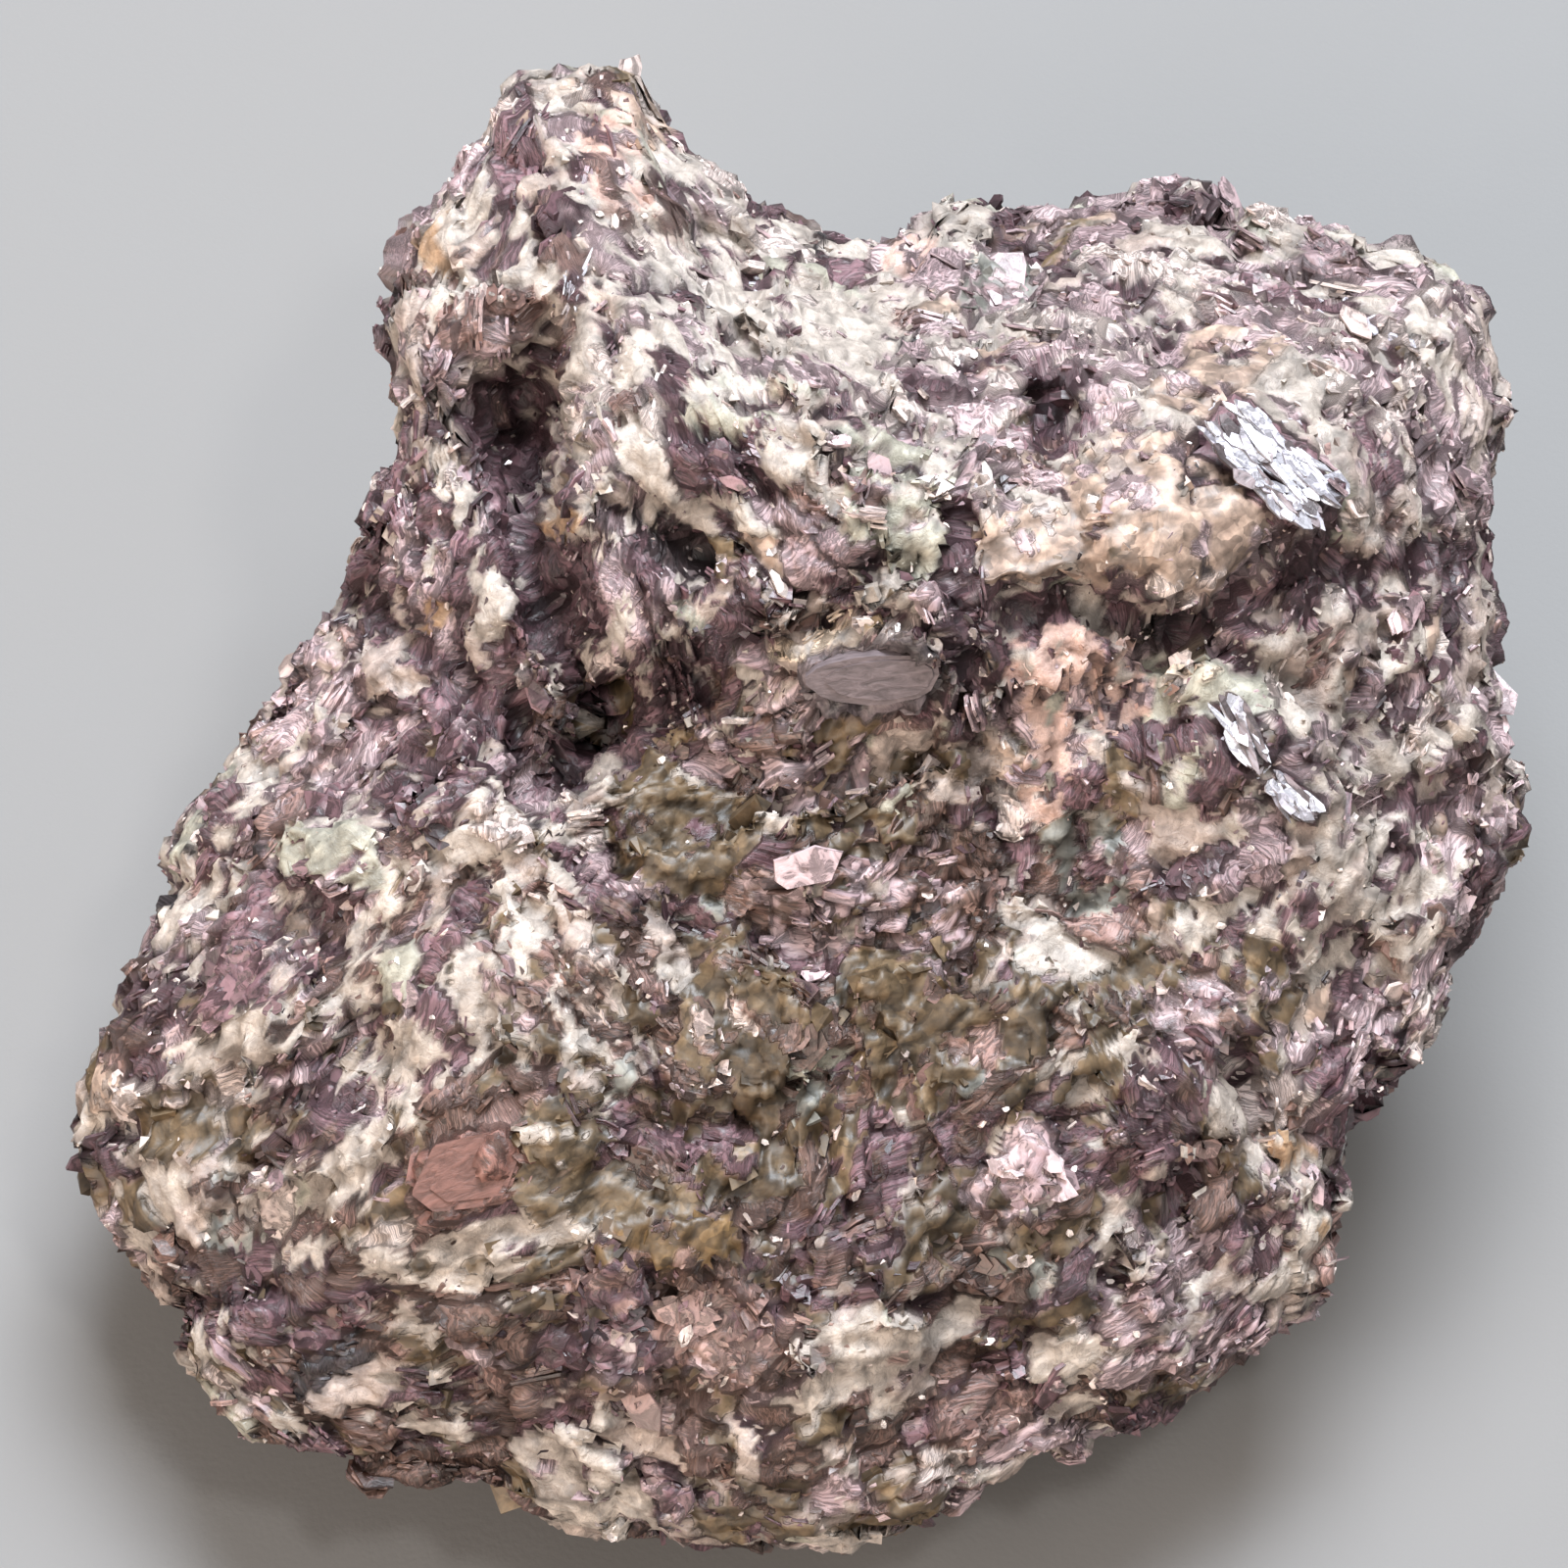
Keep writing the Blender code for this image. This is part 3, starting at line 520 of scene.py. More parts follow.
def lump_places(ways):
    """Places of the plain lump in the axes of its face: its form, broken flat, with its blocks."""
    places = break_flat(lump_form(ways))
    outward = unit(ways * (SIDEWAYS_SHARE, SIDEWAYS_SHARE, 1))
    roughness = RIM_CALM + (1 - RIM_CALM) * np.abs(ways[:, 2])
    for number, (size, tilt, step) in enumerate(zip(BLOCK_SIZES, BLOCK_TILTS, BLOCK_STEPS)):
        height = roughness * block_heights(places, size, tilt, step, BLOCK_SEED + number)
        places = places + height[:, None] * outward
    return places


def grid_quads(count):
    """Quads of a square grid of points, count by count of them, in the order of the points' rows."""
    corner = (np.arange(count)[:, None] * (count + 1) + np.arange(count)).ravel()
    return np.stack((corner, corner + count + 1, corner + count + 2, corner + 1), axis=1)


def ball_grid(count):
    """Directions on a ball and quads between them: six square grids of equal angles, edges shared.

    Also gives, for each corner of each quad, its place on its own square and that square's number.
    """
    steps = np.tan(np.linspace(-math.pi / 4, math.pi / 4, count + 1))
    s, t = (grid.ravel() for grid in np.meshgrid(steps, steps, indexing="ij"))
    flat = np.ones_like(s)
    sides = ((s, t, flat), (t, s, -flat), (flat, s, t), (-flat, t, s), (t, flat, s), (s, -flat, t))
    ways = unit(np.concatenate([np.stack(side, axis=1) for side in sides]))
    size = (count + 1) ** 2
    quads = np.concatenate([grid_quads(count) + number * size for number in range(6)])
    rows, columns = np.divmod(quads % size, count + 1)
    square = np.stack((rows, columns), axis=2) / count
    first, shared = np.unique(np.round(ways, 6) + 0.0, axis=0, return_index=True, return_inverse=True)[1:]
    return ways[first], shared.ravel()[quads], square, quads[:, 0] // size


def smooth_noise(places, size, seed):
    """Random numbers from -1 to 1 at a lattice's corners, blended in between with 3t^2 - 2t^3."""
    table = np.random.default_rng(seed).uniform(-1, 1, (NOISE_BOXES, NOISE_BOXES, NOISE_BOXES))
    scaled = places / size
    low = np.floor(scaled).astype(int)
    part = scaled - low
    part = part * part * (3 - 2 * part)
    total = np.zeros(len(places))
    for dx in (0, 1):
        for dy in (0, 1):
            for dz in (0, 1):
                share = abs(1 - dx - part[:, 0]) * abs(1 - dy - part[:, 1]) * abs(1 - dz - part[:, 2])
                spot = (low + (dx, dy, dz)) % NOISE_BOXES
                total += share * table[spot[:, 0], spot[:, 1], spot[:, 2]]
    return total


def warped(places, size, much, seed):
    """Places pushed about by smooth noise, a different one along each axis."""
    return places + much * np.stack([smooth_noise(places, size, seed + axis) for axis in range(3)], axis=1)


def nearest_cells(places, size, seed, values, along=None, stretch=1.0):
    """Cells round one scattered point in each box of a lattice, drawn out along a way by a stretch.

    Gives the middle of the cell that each place is in, random values of that cell, and how much
    nearer it is than the next cell.
    """
    boxes = int(LATTICE_SPAN / size) + 4
    dice = np.random.default_rng(seed)
    points = dice.uniform(0, 1, (boxes, boxes, boxes, 3))
    table = dice.uniform(0, 1, (boxes, boxes, boxes, values))
    scaled = (places - LATTICE_FROM) / size + 1
    box = np.clip(np.floor(scaled).astype(int), 1, boxes - 2)
    closest = np.full(len(places), 1e9)
    second = np.full(len(places), 1e9)
    chosen = box.copy()
    for step in np.ndindex(3, 3, 3):
        other = box + np.array(step) - 1
        gap = other + points[other[:, 0], other[:, 1], other[:, 2]] - scaled
        away = (gap**2).sum(axis=1)
        if along is not None:
            away = away - (1 - stretch**-2) * (gap * along).sum(axis=1) ** 2
        wins = away < closest
        second = np.where(wins, closest, np.minimum(second, away))
        closest = np.where(wins, away, closest)
        chosen = np.where(wins[:, None], other, chosen)
    index = (chosen[:, 0], chosen[:, 1], chosen[:, 2])
    middles = (chosen + points[index] - 1) * size + LATTICE_FROM
    return middles, table[index], (np.sqrt(second) - np.sqrt(closest)) * size


def kind_shares(middles):
    """How much of each kind grows round a place: the common share plus each soft region's.

    Smooth noise then makes drifts, richer in one kind and poorer in another.
    """
    shares = np.zeros((len(middles), len(NAMES)))
    for name, share in COMMON.items():
        shares[:, NAMES.index(name)] += share
    facing = np.clip((middles[:, 2] - REGION_END) / REGION_FADE, 0, 1)
    for x, y, radius, more in REGIONS:
        near = facing * np.exp(-((middles[:, 0] - x) ** 2 + (middles[:, 1] - y) ** 2) / (2 * radius**2))
        for name, share in more.items():
            shares[:, NAMES.index(name)] += near * share
    smoke = np.clip(smooth_noise(middles, SMOKE_SIZE, SEED + 60) - SMOKE_FROM, 0, 1)
    shares[:, NAMES.index("olive")] += SMOKE_SHARE * smoke * (1 - facing)
    for number, (names, strength) in enumerate(DRIFTS):
        drift = np.exp(strength * smooth_noise(middles, DRIFT_SIZE, SEED + 61 + number))
        for name in names:
            shares[:, NAMES.index(name)] *= drift
    return shares / shares.sum(axis=1, keepdims=True)


def crystal_axes(crystal):
    """Axes of a crystal's face: along its length, aside, and out of its sloping plane."""
    turn = math.radians(crystal.turn)
    out = unit(np.array((crystal.right, crystal.rise, 1.0)))
    along = np.array((math.cos(turn), math.sin(turn), 0.0))
    along = unit(along - out * (along @ out))
    return np.stack((along, np.cross(out, along), out))


def facing_share(places):
    """1 on the face, falling to 0 over some millimetres behind its rim."""
    return np.clip((places[:, 2] - FACE_END) / FACE_FADE, 0, 1)


def sheet_run(places):
    """Way that the sheets run at each place, and the way out of the rock there.

    On the face the listed directions are blended by their doubled angle, with the weight
    exp(-d^2 / 2 blend^2). Behind it they run aslant. Smooth noise turns both.
    """
    double = np.zeros((len(places), 2))
    for x, y, turn in FLOW:
        away = (places[:, 0] - x) ** 2 + (places[:, 1] - y) ** 2
        near = np.exp(-away / (2 * FLOW_BLEND**2)) + FAR_PULL / (1 + away)
        double += near[:, None] * (math.cos(2 * math.radians(turn)), math.sin(2 * math.radians(turn)))
    turn = np.arctan2(double[:, 1], double[:, 0]) / 2
    turn = turn + RUN_TURN * smooth_noise(places, RUN_TURN_SIZE, SEED + 45)
    level = np.stack((np.cos(turn), np.sin(turn), 0 * turn), axis=1)
    facing = facing_share(places)[:, None]
    aslant = np.array(ASLANT) + warped(places, *ASLANT_WAVES, SEED + 40) - places
    level = level * np.sign((level * aslant).sum(axis=1, keepdims=True))
    outer = unit(places + (0, 0, MIDDLE_DEPTH))
    out = unit(facing * np.array((0.0, 0.0, 1.0)) + (1 - facing) * outer)
    run = facing * level + (1 - facing) * unit(aslant)
    return unit(run - out * (run * out).sum(axis=1, keepdims=True)), out


def hollows(places):
    """How deep in a slit, crevice or pit of the face a place is, from 0 to 1."""
    across, up = places[:, 0], places[:, 1]
    deep = np.zeros(len(places))
    for path, width, depth in SLITS + CREVICES:
        deep = np.maximum(deep, min(1, depth / DARK_SLIT) * furrow(across, up, path, width))
    for x, y, radius, depth in PITS:
        deep = np.maximum(deep, min(1, depth / DARK_PIT) * bell(across, up, x, y, radius))
    return deep * facing_share(places)


def ways_across(run, out, chances):
    """Way across the sheets of each grain: aside of their run, swung and leaning by its own angles."""
    lean = SHEET_LEAN * chances[:, 2] ** LEAN_POWER * np.sign(chances[:, 3] - 0.5)
    swing = SHEET_SWING * (chances[:, 4] - 0.5)
    side = np.cross(out, run)
    side = side * np.cos(swing)[:, None] + run * np.sin(swing)[:, None]
    return side * np.cos(lean)[:, None] + out * np.sin(lean)[:, None]


def set_patches(places, bent, pure, kind):
    """Each patch's kind takes over inside its ragged oval, where the patch is pure."""
    front = places[:, 2] > PATCH_END
    for *patch, name in PATCHES:
        inside = front & (oval(bent[:, 0], bent[:, 1], *patch) < 1)
        kind = np.where(inside & pure, NAMES.index(name), kind)
    return kind


def set_crystals(places, bent, pure, kind, step, across_sheets):
    """Each crystal's kind and sheets take over inside its oval, and little is left of the step there."""
    front = places[:, 2] > PATCH_END
    for crystal in CRYSTALS:
        plated = crystal.kind in PLATED
        spots = places if plated else bent
        inside = front & (oval(spots[:, 0], spots[:, 1], *crystal[:5]) < 1)
        kind = np.where(inside & (plated | pure), NAMES.index(crystal.kind), kind)
        step = np.where(inside, CRYSTAL_STEP * step, step)
        if crystal.kind != "striped":
            across_sheets = np.where(inside[:, None], crystal_axes(crystal)[2], across_sheets)
    return kind, step, across_sheets


def grains(places):
    """What each place is made of: kind, tone, way across its sheets, distance from its edge, step.

    Places are warped and then fall into cells drawn out along the sheets' run, so that the cells
    come out as ragged long grains. Small specks of something else are mixed in. Patches and
    crystals overrule the cells on the face. Hollows get painted shade: a darker tone and dark plum
    mica. The step is how far each grain's own sloping face stands out.
    """
    bent = places
    for number, (size, much) in enumerate(GRAIN_WAVES):
        bent = warped(bent, size, much, SEED + 10 * number)
    run, out = sheet_run(places)
    middles, chances, edge = nearest_cells(bent, GRAIN_SIZE, SEED + 20, 10, run, GRAIN_STRETCH)
    speckled = warped(places, *SPECK_WAVES, SEED + 30)
    specks, luck, speck_edge = nearest_cells(speckled, SPECK_SIZE, SEED + 31, 7, run, GRAIN_STRETCH)
    pure = luck[:, 5] > IMPURE_SHARE
    kind = set_patches(places, bent, pure, one_of(kind_shares(middles), chances[:, 0]))
    mixed = luck[:, 0] < MIXED_SHARE * SPECKLED[kind]
    kind = np.where(mixed, one_of(kind_shares(specks), luck[:, 1]), kind)
    edge = np.where(mixed, np.minimum(edge, speck_edge), edge)
    slope = ((bent - middles) * (chances[:, 7:10] - 0.5)).sum(axis=1) * GRAIN_SLOPE
    step = GRAIN_STEP * (2 * chances[:, 6] - 1) + slope
    step = step + np.where(mixed, SPECK_STEP * (2 * luck[:, 6] - 1), 0)
    step = step * CALM[kind]
    # Painted shade: deep in a hollow the tone darkens and the rock turns to dark plum mica.
    deep = hollows(places)
    kind = np.where(deep > HOLLOW_SHADE_PLUM_FROM + HOLLOW_SHADE_PLUM_SPREAD * luck[:, 3], NAMES.index("plum"), kind)
    tone = TONE_OF_GRAIN * chances[:, 1] + TONE_OF_SPECK * luck[:, 2] - TONE_LESS
    tone = np.clip(tone - PAINTED_SHADE_IN_HOLLOWS * deep, 0, 1)
    across_sheets = ways_across(run, out, chances)
    kind, step, across_sheets = set_crystals(places, bent, pure, kind, step, across_sheets)
    return kind, tone, unit(across_sheets), edge, step


def one_of(shares, chance):
    """The kind whose part of the summed shares a chance from 0 to 1 falls in."""
    return np.minimum((shares.cumsum(axis=1) < chance[:, None]).sum(axis=1), len(NAMES) - 1)


def colours(kind, tone):
    """Colour between a kind's darkest and lightest at its tone."""
    tone = np.clip(tone, 0, 1)[:, None]
    return DARKEST[kind] + (LIGHTEST[kind] - DARKEST[kind]) * tone


def sheet_axes(across_sheets, guide):
    """Three axes for each sheet: along it and square to a guide, the other way along it, across it."""
    along = unit(np.cross(across_sheets, guide))
    return np.stack((along, np.cross(across_sheets, along), across_sheets), axis=1)


def stand_of(places):
    """The point that becomes the frame's zero: under the middle of the lump's box, at its flat side."""
    world = places @ AXES
    middle = (world.min(axis=0) + world.max(axis=0)) / 2
    return np.array((middle[0], middle[1], -SEAT_DEPTH))


def to_world(places):
    """Places from the face's axes and mm to the CAD frame and metres, none of them under the floor."""
    world = places @ AXES - STAND
    world[:, 2] = np.maximum(world[:, 2], 0)
    return world * MM


def with_alpha(colour):
    """Colours with a fourth number, 1, as a mesh keeps them."""
    return np.concatenate((colour, np.ones((len(colour), 1))), axis=1)


def new_piece(name, places, quads, attributes, corners, material, smooth=False):
    """One mesh from arrays of world places and quads, with its attributes and the map for its finish.

    Attributes with four numbers to a point are colours and those with three are vectors.
    """
    mesh = bpy.data.meshes.new(name)
    mesh.from_pydata(places, [], quads)
    for label, values in attributes.items():
        sort, field = ("FLOAT_COLOR", "color") if values.shape[1] == 4 else ("FLOAT_VECTOR", "vector")
        attribute = mesh.attributes.new(label, sort, "POINT")
        attribute.data.foreach_set(field, values.astype(np.float32).ravel())
    mesh.uv_layers.new(name="OFBake").data.foreach_set("uv", corners.astype(np.float32).ravel())
    mesh.polygons.foreach_set("use_smooth", np.full(len(quads), smooth))
    mesh.materials.append(material)
    mesh.update()
    piece = bpy.data.objects.new(name, mesh)
    bpy.context.scene.collection.objects.link(piece)
    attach(piece, "root")
    return piece


# The skin of the rock.

# Quads along a square of the skin's grid, and how much the grid is drawn to the front.
SKIN_COUNT = 127
FRONT_SHARE = 0.50
# Small flat cells of the skin: their size and step, their most slope, and the waves that bend them.
SKIN_CELLS = ((2.0, 0.18), (1.0, 0.12))
SKIN_SLOPE = 0.5
SKIN_WAVES = (2.0, 0.5)
# How many sheet edges there are to a millimetre, across the sheets and along them, how big a grain
# of sugar is, their height on mica, feldspar and quartz, and the waves that bend slits.
SHEETS_ACROSS = 1.1
SHEETS_ALONG = 0.3
SUGAR_SIZE = 0.9
FINE_HEIGHT = (0.16, 0.06, 0.02)
SLIT_WAVES = (1.5, 0.4)
# The seam round each grain: its depth and width, how dark it is, and how far from the edge.
SEAM_DEPTH = 0.30
SEAM_WIDTH = 0.35
SEAM_SHADE = 0.50
SEAM_REACH = 0.30
# Over this height above the board the relief grows from nothing.
RELIEF_FROM_BOARD = 2.0
# Shade of the skin: its least and what the tone adds.
SKIN_SHADE = (0.15, 0.7)
# The way that guides the sheets of the skin, and how much the pieces follow its own relief.
SKIN_GUIDE = (0.3, 0.2, 0.9)
RELIEF_SHARE = 0.7
# Squares of the map for the skin's finish: where they start and how long their sides are.
BIG_SQUARE = 0.64
SQUARE_STEP = 0.34
SQUARE_MARGIN = 0.01
SQUARES_FROM = (
    (0, 0), (BIG_SQUARE, 0), (BIG_SQUARE, SQUARE_STEP),
    (0, BIG_SQUARE), (SQUARE_STEP, BIG_SQUARE), (2 * SQUARE_STEP, BIG_SQUARE),
)
SQUARE_SIDES = (0.92 * BIG_SQUARE, 0.31, 0.31, 0.31, 0.31, 0.31)


def skin_ways(ways):
    """Directions drawn towards the front: the angle from the front less a share of its sine."""
    angle = np.arccos(np.clip(ways[:, 2], -1, 1))
    moved = angle - FRONT_SHARE * np.sin(angle)
    ring = unit(ways[:, :2])
    return np.concatenate((ring * np.sin(moved)[:, None], np.cos(moved)[:, None]), axis=1)


# The skin's grid, the plain lump that it starts from, and the point that becomes the frame's zero.
BALL, SKIN_QUADS, SQUARE_PLACES, SQUARE_NUMBERS = ball_grid(SKIN_COUNT)
PLAIN = lump_places(skin_ways(BALL))
STAND = stand_of(PLAIN)


def normals_of(places, quads):
    """Outward way at each point: the sum of the ways of the quads round it."""
    a, b, c, d = (places[quads[:, corner]] for corner in range(4))
    ways = np.cross(c - a, d - b)
    total = np.zeros_like(places)
    for corner in range(4):
        np.add.at(total, quads[:, corner], ways)
    return unit(total)


def skin_relief(places, kind, across_sheets, edge, step):
    """Fine height of the skin: each grain's step, small flat cells, sheet edges or sugar, less seams.

    A seam is depth * exp(-(d / width)^2) at the distance d from a grain's edge. Slits go deeper.
    """
    height = step.copy()
    run = sheet_run(places)[0]
    calm = CALM[kind]
    bent = warped(places, *SKIN_WAVES, SEED + 70)
    for number, (size, tall) in enumerate(SKIN_CELLS):
        middles, chances = nearest_cells(bent, size, SEED + 71 + number, 4, run, GRAIN_STRETCH)[:2]
        slopes = (chances[:, 1:] - 0.5) * SKIN_SLOPE
        height += calm * (tall * (2 * chances[:, 0] - 1) + ((places - middles) * slopes).sum(axis=1))
    across = (places * across_sheets).sum(axis=1)
    layers = (across * SHEETS_ACROSS, places[:, 0] * SHEETS_ALONG, places[:, 1] * SHEETS_ALONG)
    sheets = smooth_noise(np.stack(layers, axis=1), 1.0, SEED + 75)
    sugar = smooth_noise(places, SUGAR_SIZE, SEED + 76)
    height += np.choose(BUILD[kind], FINE_HEIGHT) * np.where(BUILD[kind] == MICA, sheets, sugar)
    wavy = warped(places, *SLIT_WAVES, SEED + 77)
    slit = np.zeros(len(places))
    for path, width, depth in SLITS:
        slit = np.maximum(slit, depth * furrow(wavy[:, 0], wavy[:, 1], path, width))
    seam = SEAM_DEPTH * calm * np.exp(-((edge / SEAM_WIDTH) ** 2))
    return height - seam - slit * facing_share(places)


def square_map(square, number):
    """Places on the map for the skin's finish: the front square is big, the other five are round it."""
    lows = np.array(SQUARES_FROM)[number][:, None, :]
    return lows + SQUARE_MARGIN + square * np.array(SQUARE_SIDES)[number][:, None, None]


def make_skin():
    """The whole outside of the rock in one closed grid. Returns what the small pieces grow on."""
    kind, tone, across_sheets, edge, step = grains(PLAIN)
    outward = normals_of(PLAIN, SKIN_QUADS)
    height = skin_relief(PLAIN, kind, across_sheets, edge, step)
    level = (PLAIN @ AXES)[:, 2] - STAND[2]
    places = PLAIN + outward * (height * np.clip(level / RELIEF_FROM_BOARD, 0, 1))[:, None]
    under = np.where(kind == NAMES.index("silver"), NAMES.index("plum"), kind)
    least, more = SKIN_SHADE
    dim = SEAM_SHADE + (1 - SEAM_SHADE) * np.clip(edge / SEAM_REACH, 0, 1)
    build = np.stack((BUILD[kind] == FELDSPAR, BUILD[kind] == QUARTZ, dim), axis=1)
    axes = sheet_axes(across_sheets, np.array(SKIN_GUIDE))
    attributes = {
        "colour": with_alpha(colours(under, least + more * tone)),
        "build": with_alpha(build),
        "layers": np.einsum("nx,nkx->nk", PLAIN, axes),
    }
    corners = square_map(SQUARE_PLACES, SQUARE_NUMBERS)
    skin = new_piece(
        "rock_skin", to_world(places), SKIN_QUADS, attributes, corners, skin_finish(), smooth=True
    )
    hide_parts(NODE)
    ways = unit(outward + RELIEF_SHARE * normals_of(places, SKIN_QUADS))
    return places, ways, SKIN_QUADS


# Small pieces that grow on the rock.

# How far astray of a spot its mineral is looked up, so that the edges of grains interlock.
STRAY = 0.35
# Random spots tried for each one wanted, and the least height above the board, in mm.
TRIES = 4
LEAST_HEIGHT = 1.0
# How much smaller pieces are in hollows, at the sides, and where a flake lies flat on the rock, and
# how soon a piece that faces forwards or backwards has its full size.
SMALL_IN_HOLLOWS = 0.68
SMALL_AT_SIDES = 0.62
SMALL_WHEN_FLAT = 0.4
FULL_IN_FRONT = 1.3
FULL_BEHIND = 0.8
# How a sort of piece grows: the random tilt of its sheets and of the way that guides its length,
# the spread of its length and the limits of that, its half width and half thickness as shares of
# its half length, and how far it stands out of the rock, in mm.
Habit = namedtuple("Habit", "tilt astray spread limits width thickness proud")
NO_LIMITS = (-math.inf, math.inf)
FLAKE = Habit(0.13, 0.25, 0.42, NO_LIMITS, (0.40, 0.75), (0.05, 0.11), (0.00, 0.17))
BOOK = Habit(0.10, 0.20, 0.35, (-0.8, 0.4), (0.40, 0.65), (0.15, 0.32), (0.02, 0.20))
SUGAR_GRAIN = Habit(0.30, 0.30, 0.38, (-0.8, 0.35), (0.40, 0.75), (0.21, 0.36), (0.00, 0.10))
GLASSY_GRAIN = SUGAR_GRAIN._replace(proud=(0.00, 0.07))
GLINT = Habit(0.30, 1.00, 0.35, NO_LIMITS, (0.50, 0.90), None, (0.10, 0.35))
# Shade of mica and of grains: its least, what the tone adds, and its random spread.
MICA_SHADE = (0.10, 0.60, 0.24)
GRAIN_SHADE = (0.20, 0.50, 0.20)
# What a flake's half thickness has on top of its share, in mm, and the shares of flakes turned pale pearl
# as painted glints and dark plum as painted shade.
FLAKE_EXTRA = 0.04
PEARL_GLINT_SHARE = 0.06
PLUM_SHADE_SHARE = 0.04
# Sheets of a book: how far they shift, what they fill of its thickness, and their range of size.
BOOK_SHIFT = 0.12
BOOK_FILL = 0.86
BOOK_SHEETS = (0.8, 1.1)
# Glints: their half thickness as a share of the half length, the way that they face, how far back
# the rock may face under them, and their shades, pale so that a painted highlight adds to the real gloss.
GLINT_THICKNESS = 0.2
GLINT_WAY = (0.13, 0.13, 0.98)
GLINT_BACK = -0.2
GLINT_SHADES = (0.4, 1.1)
# A plate: how many sides it has, how far its corners go astray, as a share of a step, their reach,
# its most bend as a share of its length, and the size of its lower cap.
PLATE_SIDES = 6
CORNERS_ASTRAY = 0.33
CORNERS_REACH = (0.80, 1.10)
MOST_BEND = 0.10
LOWER_CAP = 0.97
# A piece's own square on the map: the wall of a plate, its caps, and the sides of a grain.
WALL_FROM, WALL_LONG = 0.05, 0.9
WALL_LOW, WALL_HIGH = 0.04, 0.18
CAP_RADIUS = 0.2
CAP_MIDDLES = ((0.27, 0.62), (0.73, 0.62))
SIDE_MARGIN, SIDE_LONG = 0.04, 0.9
# Pieces of one mesh show parts of their pattern this far apart at most, in mm.
PATTERN_REACH = 40


def scatter(rock, spacing, seed):
    """Spots on the rock about a spacing apart: random spots, the first in each box of a lattice."""
    places, outward, quads = rock
    dice = np.random.default_rng(seed)
    a, b, c = (places[quads[:, corner]] for corner in (0, 1, 2))
    area = np.linalg.norm(np.cross(b - a, c - a), axis=1)
    wanted = int(area.sum() / spacing**2 * TRIES)
    chosen = dice.choice(len(quads), wanted, p=area / area.sum())
    s, t = dice.uniform(0, 1, (2, wanted, 1))
    corners = quads[chosen]
    blend = ((1 - s) * (1 - t), s * (1 - t), s * t, (1 - s) * t)
    spots = sum(share * places[corners[:, corner]] for corner, share in enumerate(blend))
    ways = unit(sum(share * outward[corners[:, corner]] for corner, share in enumerate(blend)))
    boxes = np.floor((spots - LATTICE_FROM) / spacing).astype(int)
    first = np.unique(boxes, axis=0, return_index=True)[1]
    first = first[(spots[first] @ AXES)[:, 2] - STAND[2] > LEAST_HEIGHT]
    return spots[first], ways[first]


def on_crystal(spots):
    """True where a spot is on the flat face of a crystal that has plates of its own."""
    found = np.zeros(len(spots), bool)
    for crystal in CRYSTALS:
        if crystal.kind in PLATED:
            found |= oval(spots[:, 0], spots[:, 1], *crystal[:5]) < PLATED_SHARE
    return found & (spots[:, 2] > PLATES_END)


def plate_template(sides):
    """Quads of a plate with an even number of sides: its wall, and each cap as a strip of quads."""
    ring = np.arange(sides)
    wall = np.stack((ring, (ring + 1) % sides, (ring + 1) % sides + sides, ring + sides), axis=1)
    top = np.array([(k, k + 1, sides - 2 - k, sides - 1 - k) for k in range(sides // 2 - 1)])
    return np.concatenate((wall, top + sides, top[:, ::-1]))


def plate_square(quad, sides):
    """A plate on its own square of the map: its wall in a strip below, its two caps above."""
    corner = np.arange(sides)
    along = np.stack((corner, corner + 1, corner + 1, corner), axis=1) / sides
    upright = np.where(quad[:sides] >= sides, WALL_HIGH, WALL_LOW)
    strip = np.stack((WALL_FROM + WALL_LONG * along, upright), axis=2)
    turn = 2 * math.pi * (np.arange(2 * sides) % sides) / sides
    caps = np.stack((np.cos(turn), np.sin(turn)), axis=1)[quad[sides:]] * CAP_RADIUS
    half = len(caps) // 2
    caps[:half] += CAP_MIDDLES[0]
    caps[half:] += CAP_MIDDLES[1]
    return np.concatenate((strip, caps))


def copies(name, centres, axes, local, quad, square, colour, dice, material):
    """One mesh of many pieces of the same few quads, each with its own middle, axes and points.

    Each piece shows another part of its pattern and has its own square on the map.
    """
    count, points = local.shape[:2]
    places = centres[:, None, :] + np.einsum("nvk,nkx->nvx", local, axes)
    quads = (quad[None] + (np.arange(count) * points)[:, None, None]).reshape(-1, 4)
    layers = local + dice.uniform(0, PATTERN_REACH, (count, 1, 3))
    attributes = {
        "colour": with_alpha(np.repeat(colour, points, axis=0)),
        "layers": layers.reshape(-1, 3),
    }
    along = math.ceil(math.sqrt(count))
    row, column = np.divmod(np.arange(count), along)
    corners = (np.stack((column, row), axis=1)[:, None, None, :] + square[None]) / along
    return new_piece(name, to_world(places.reshape(-1, 3)), quads, attributes, corners, material)


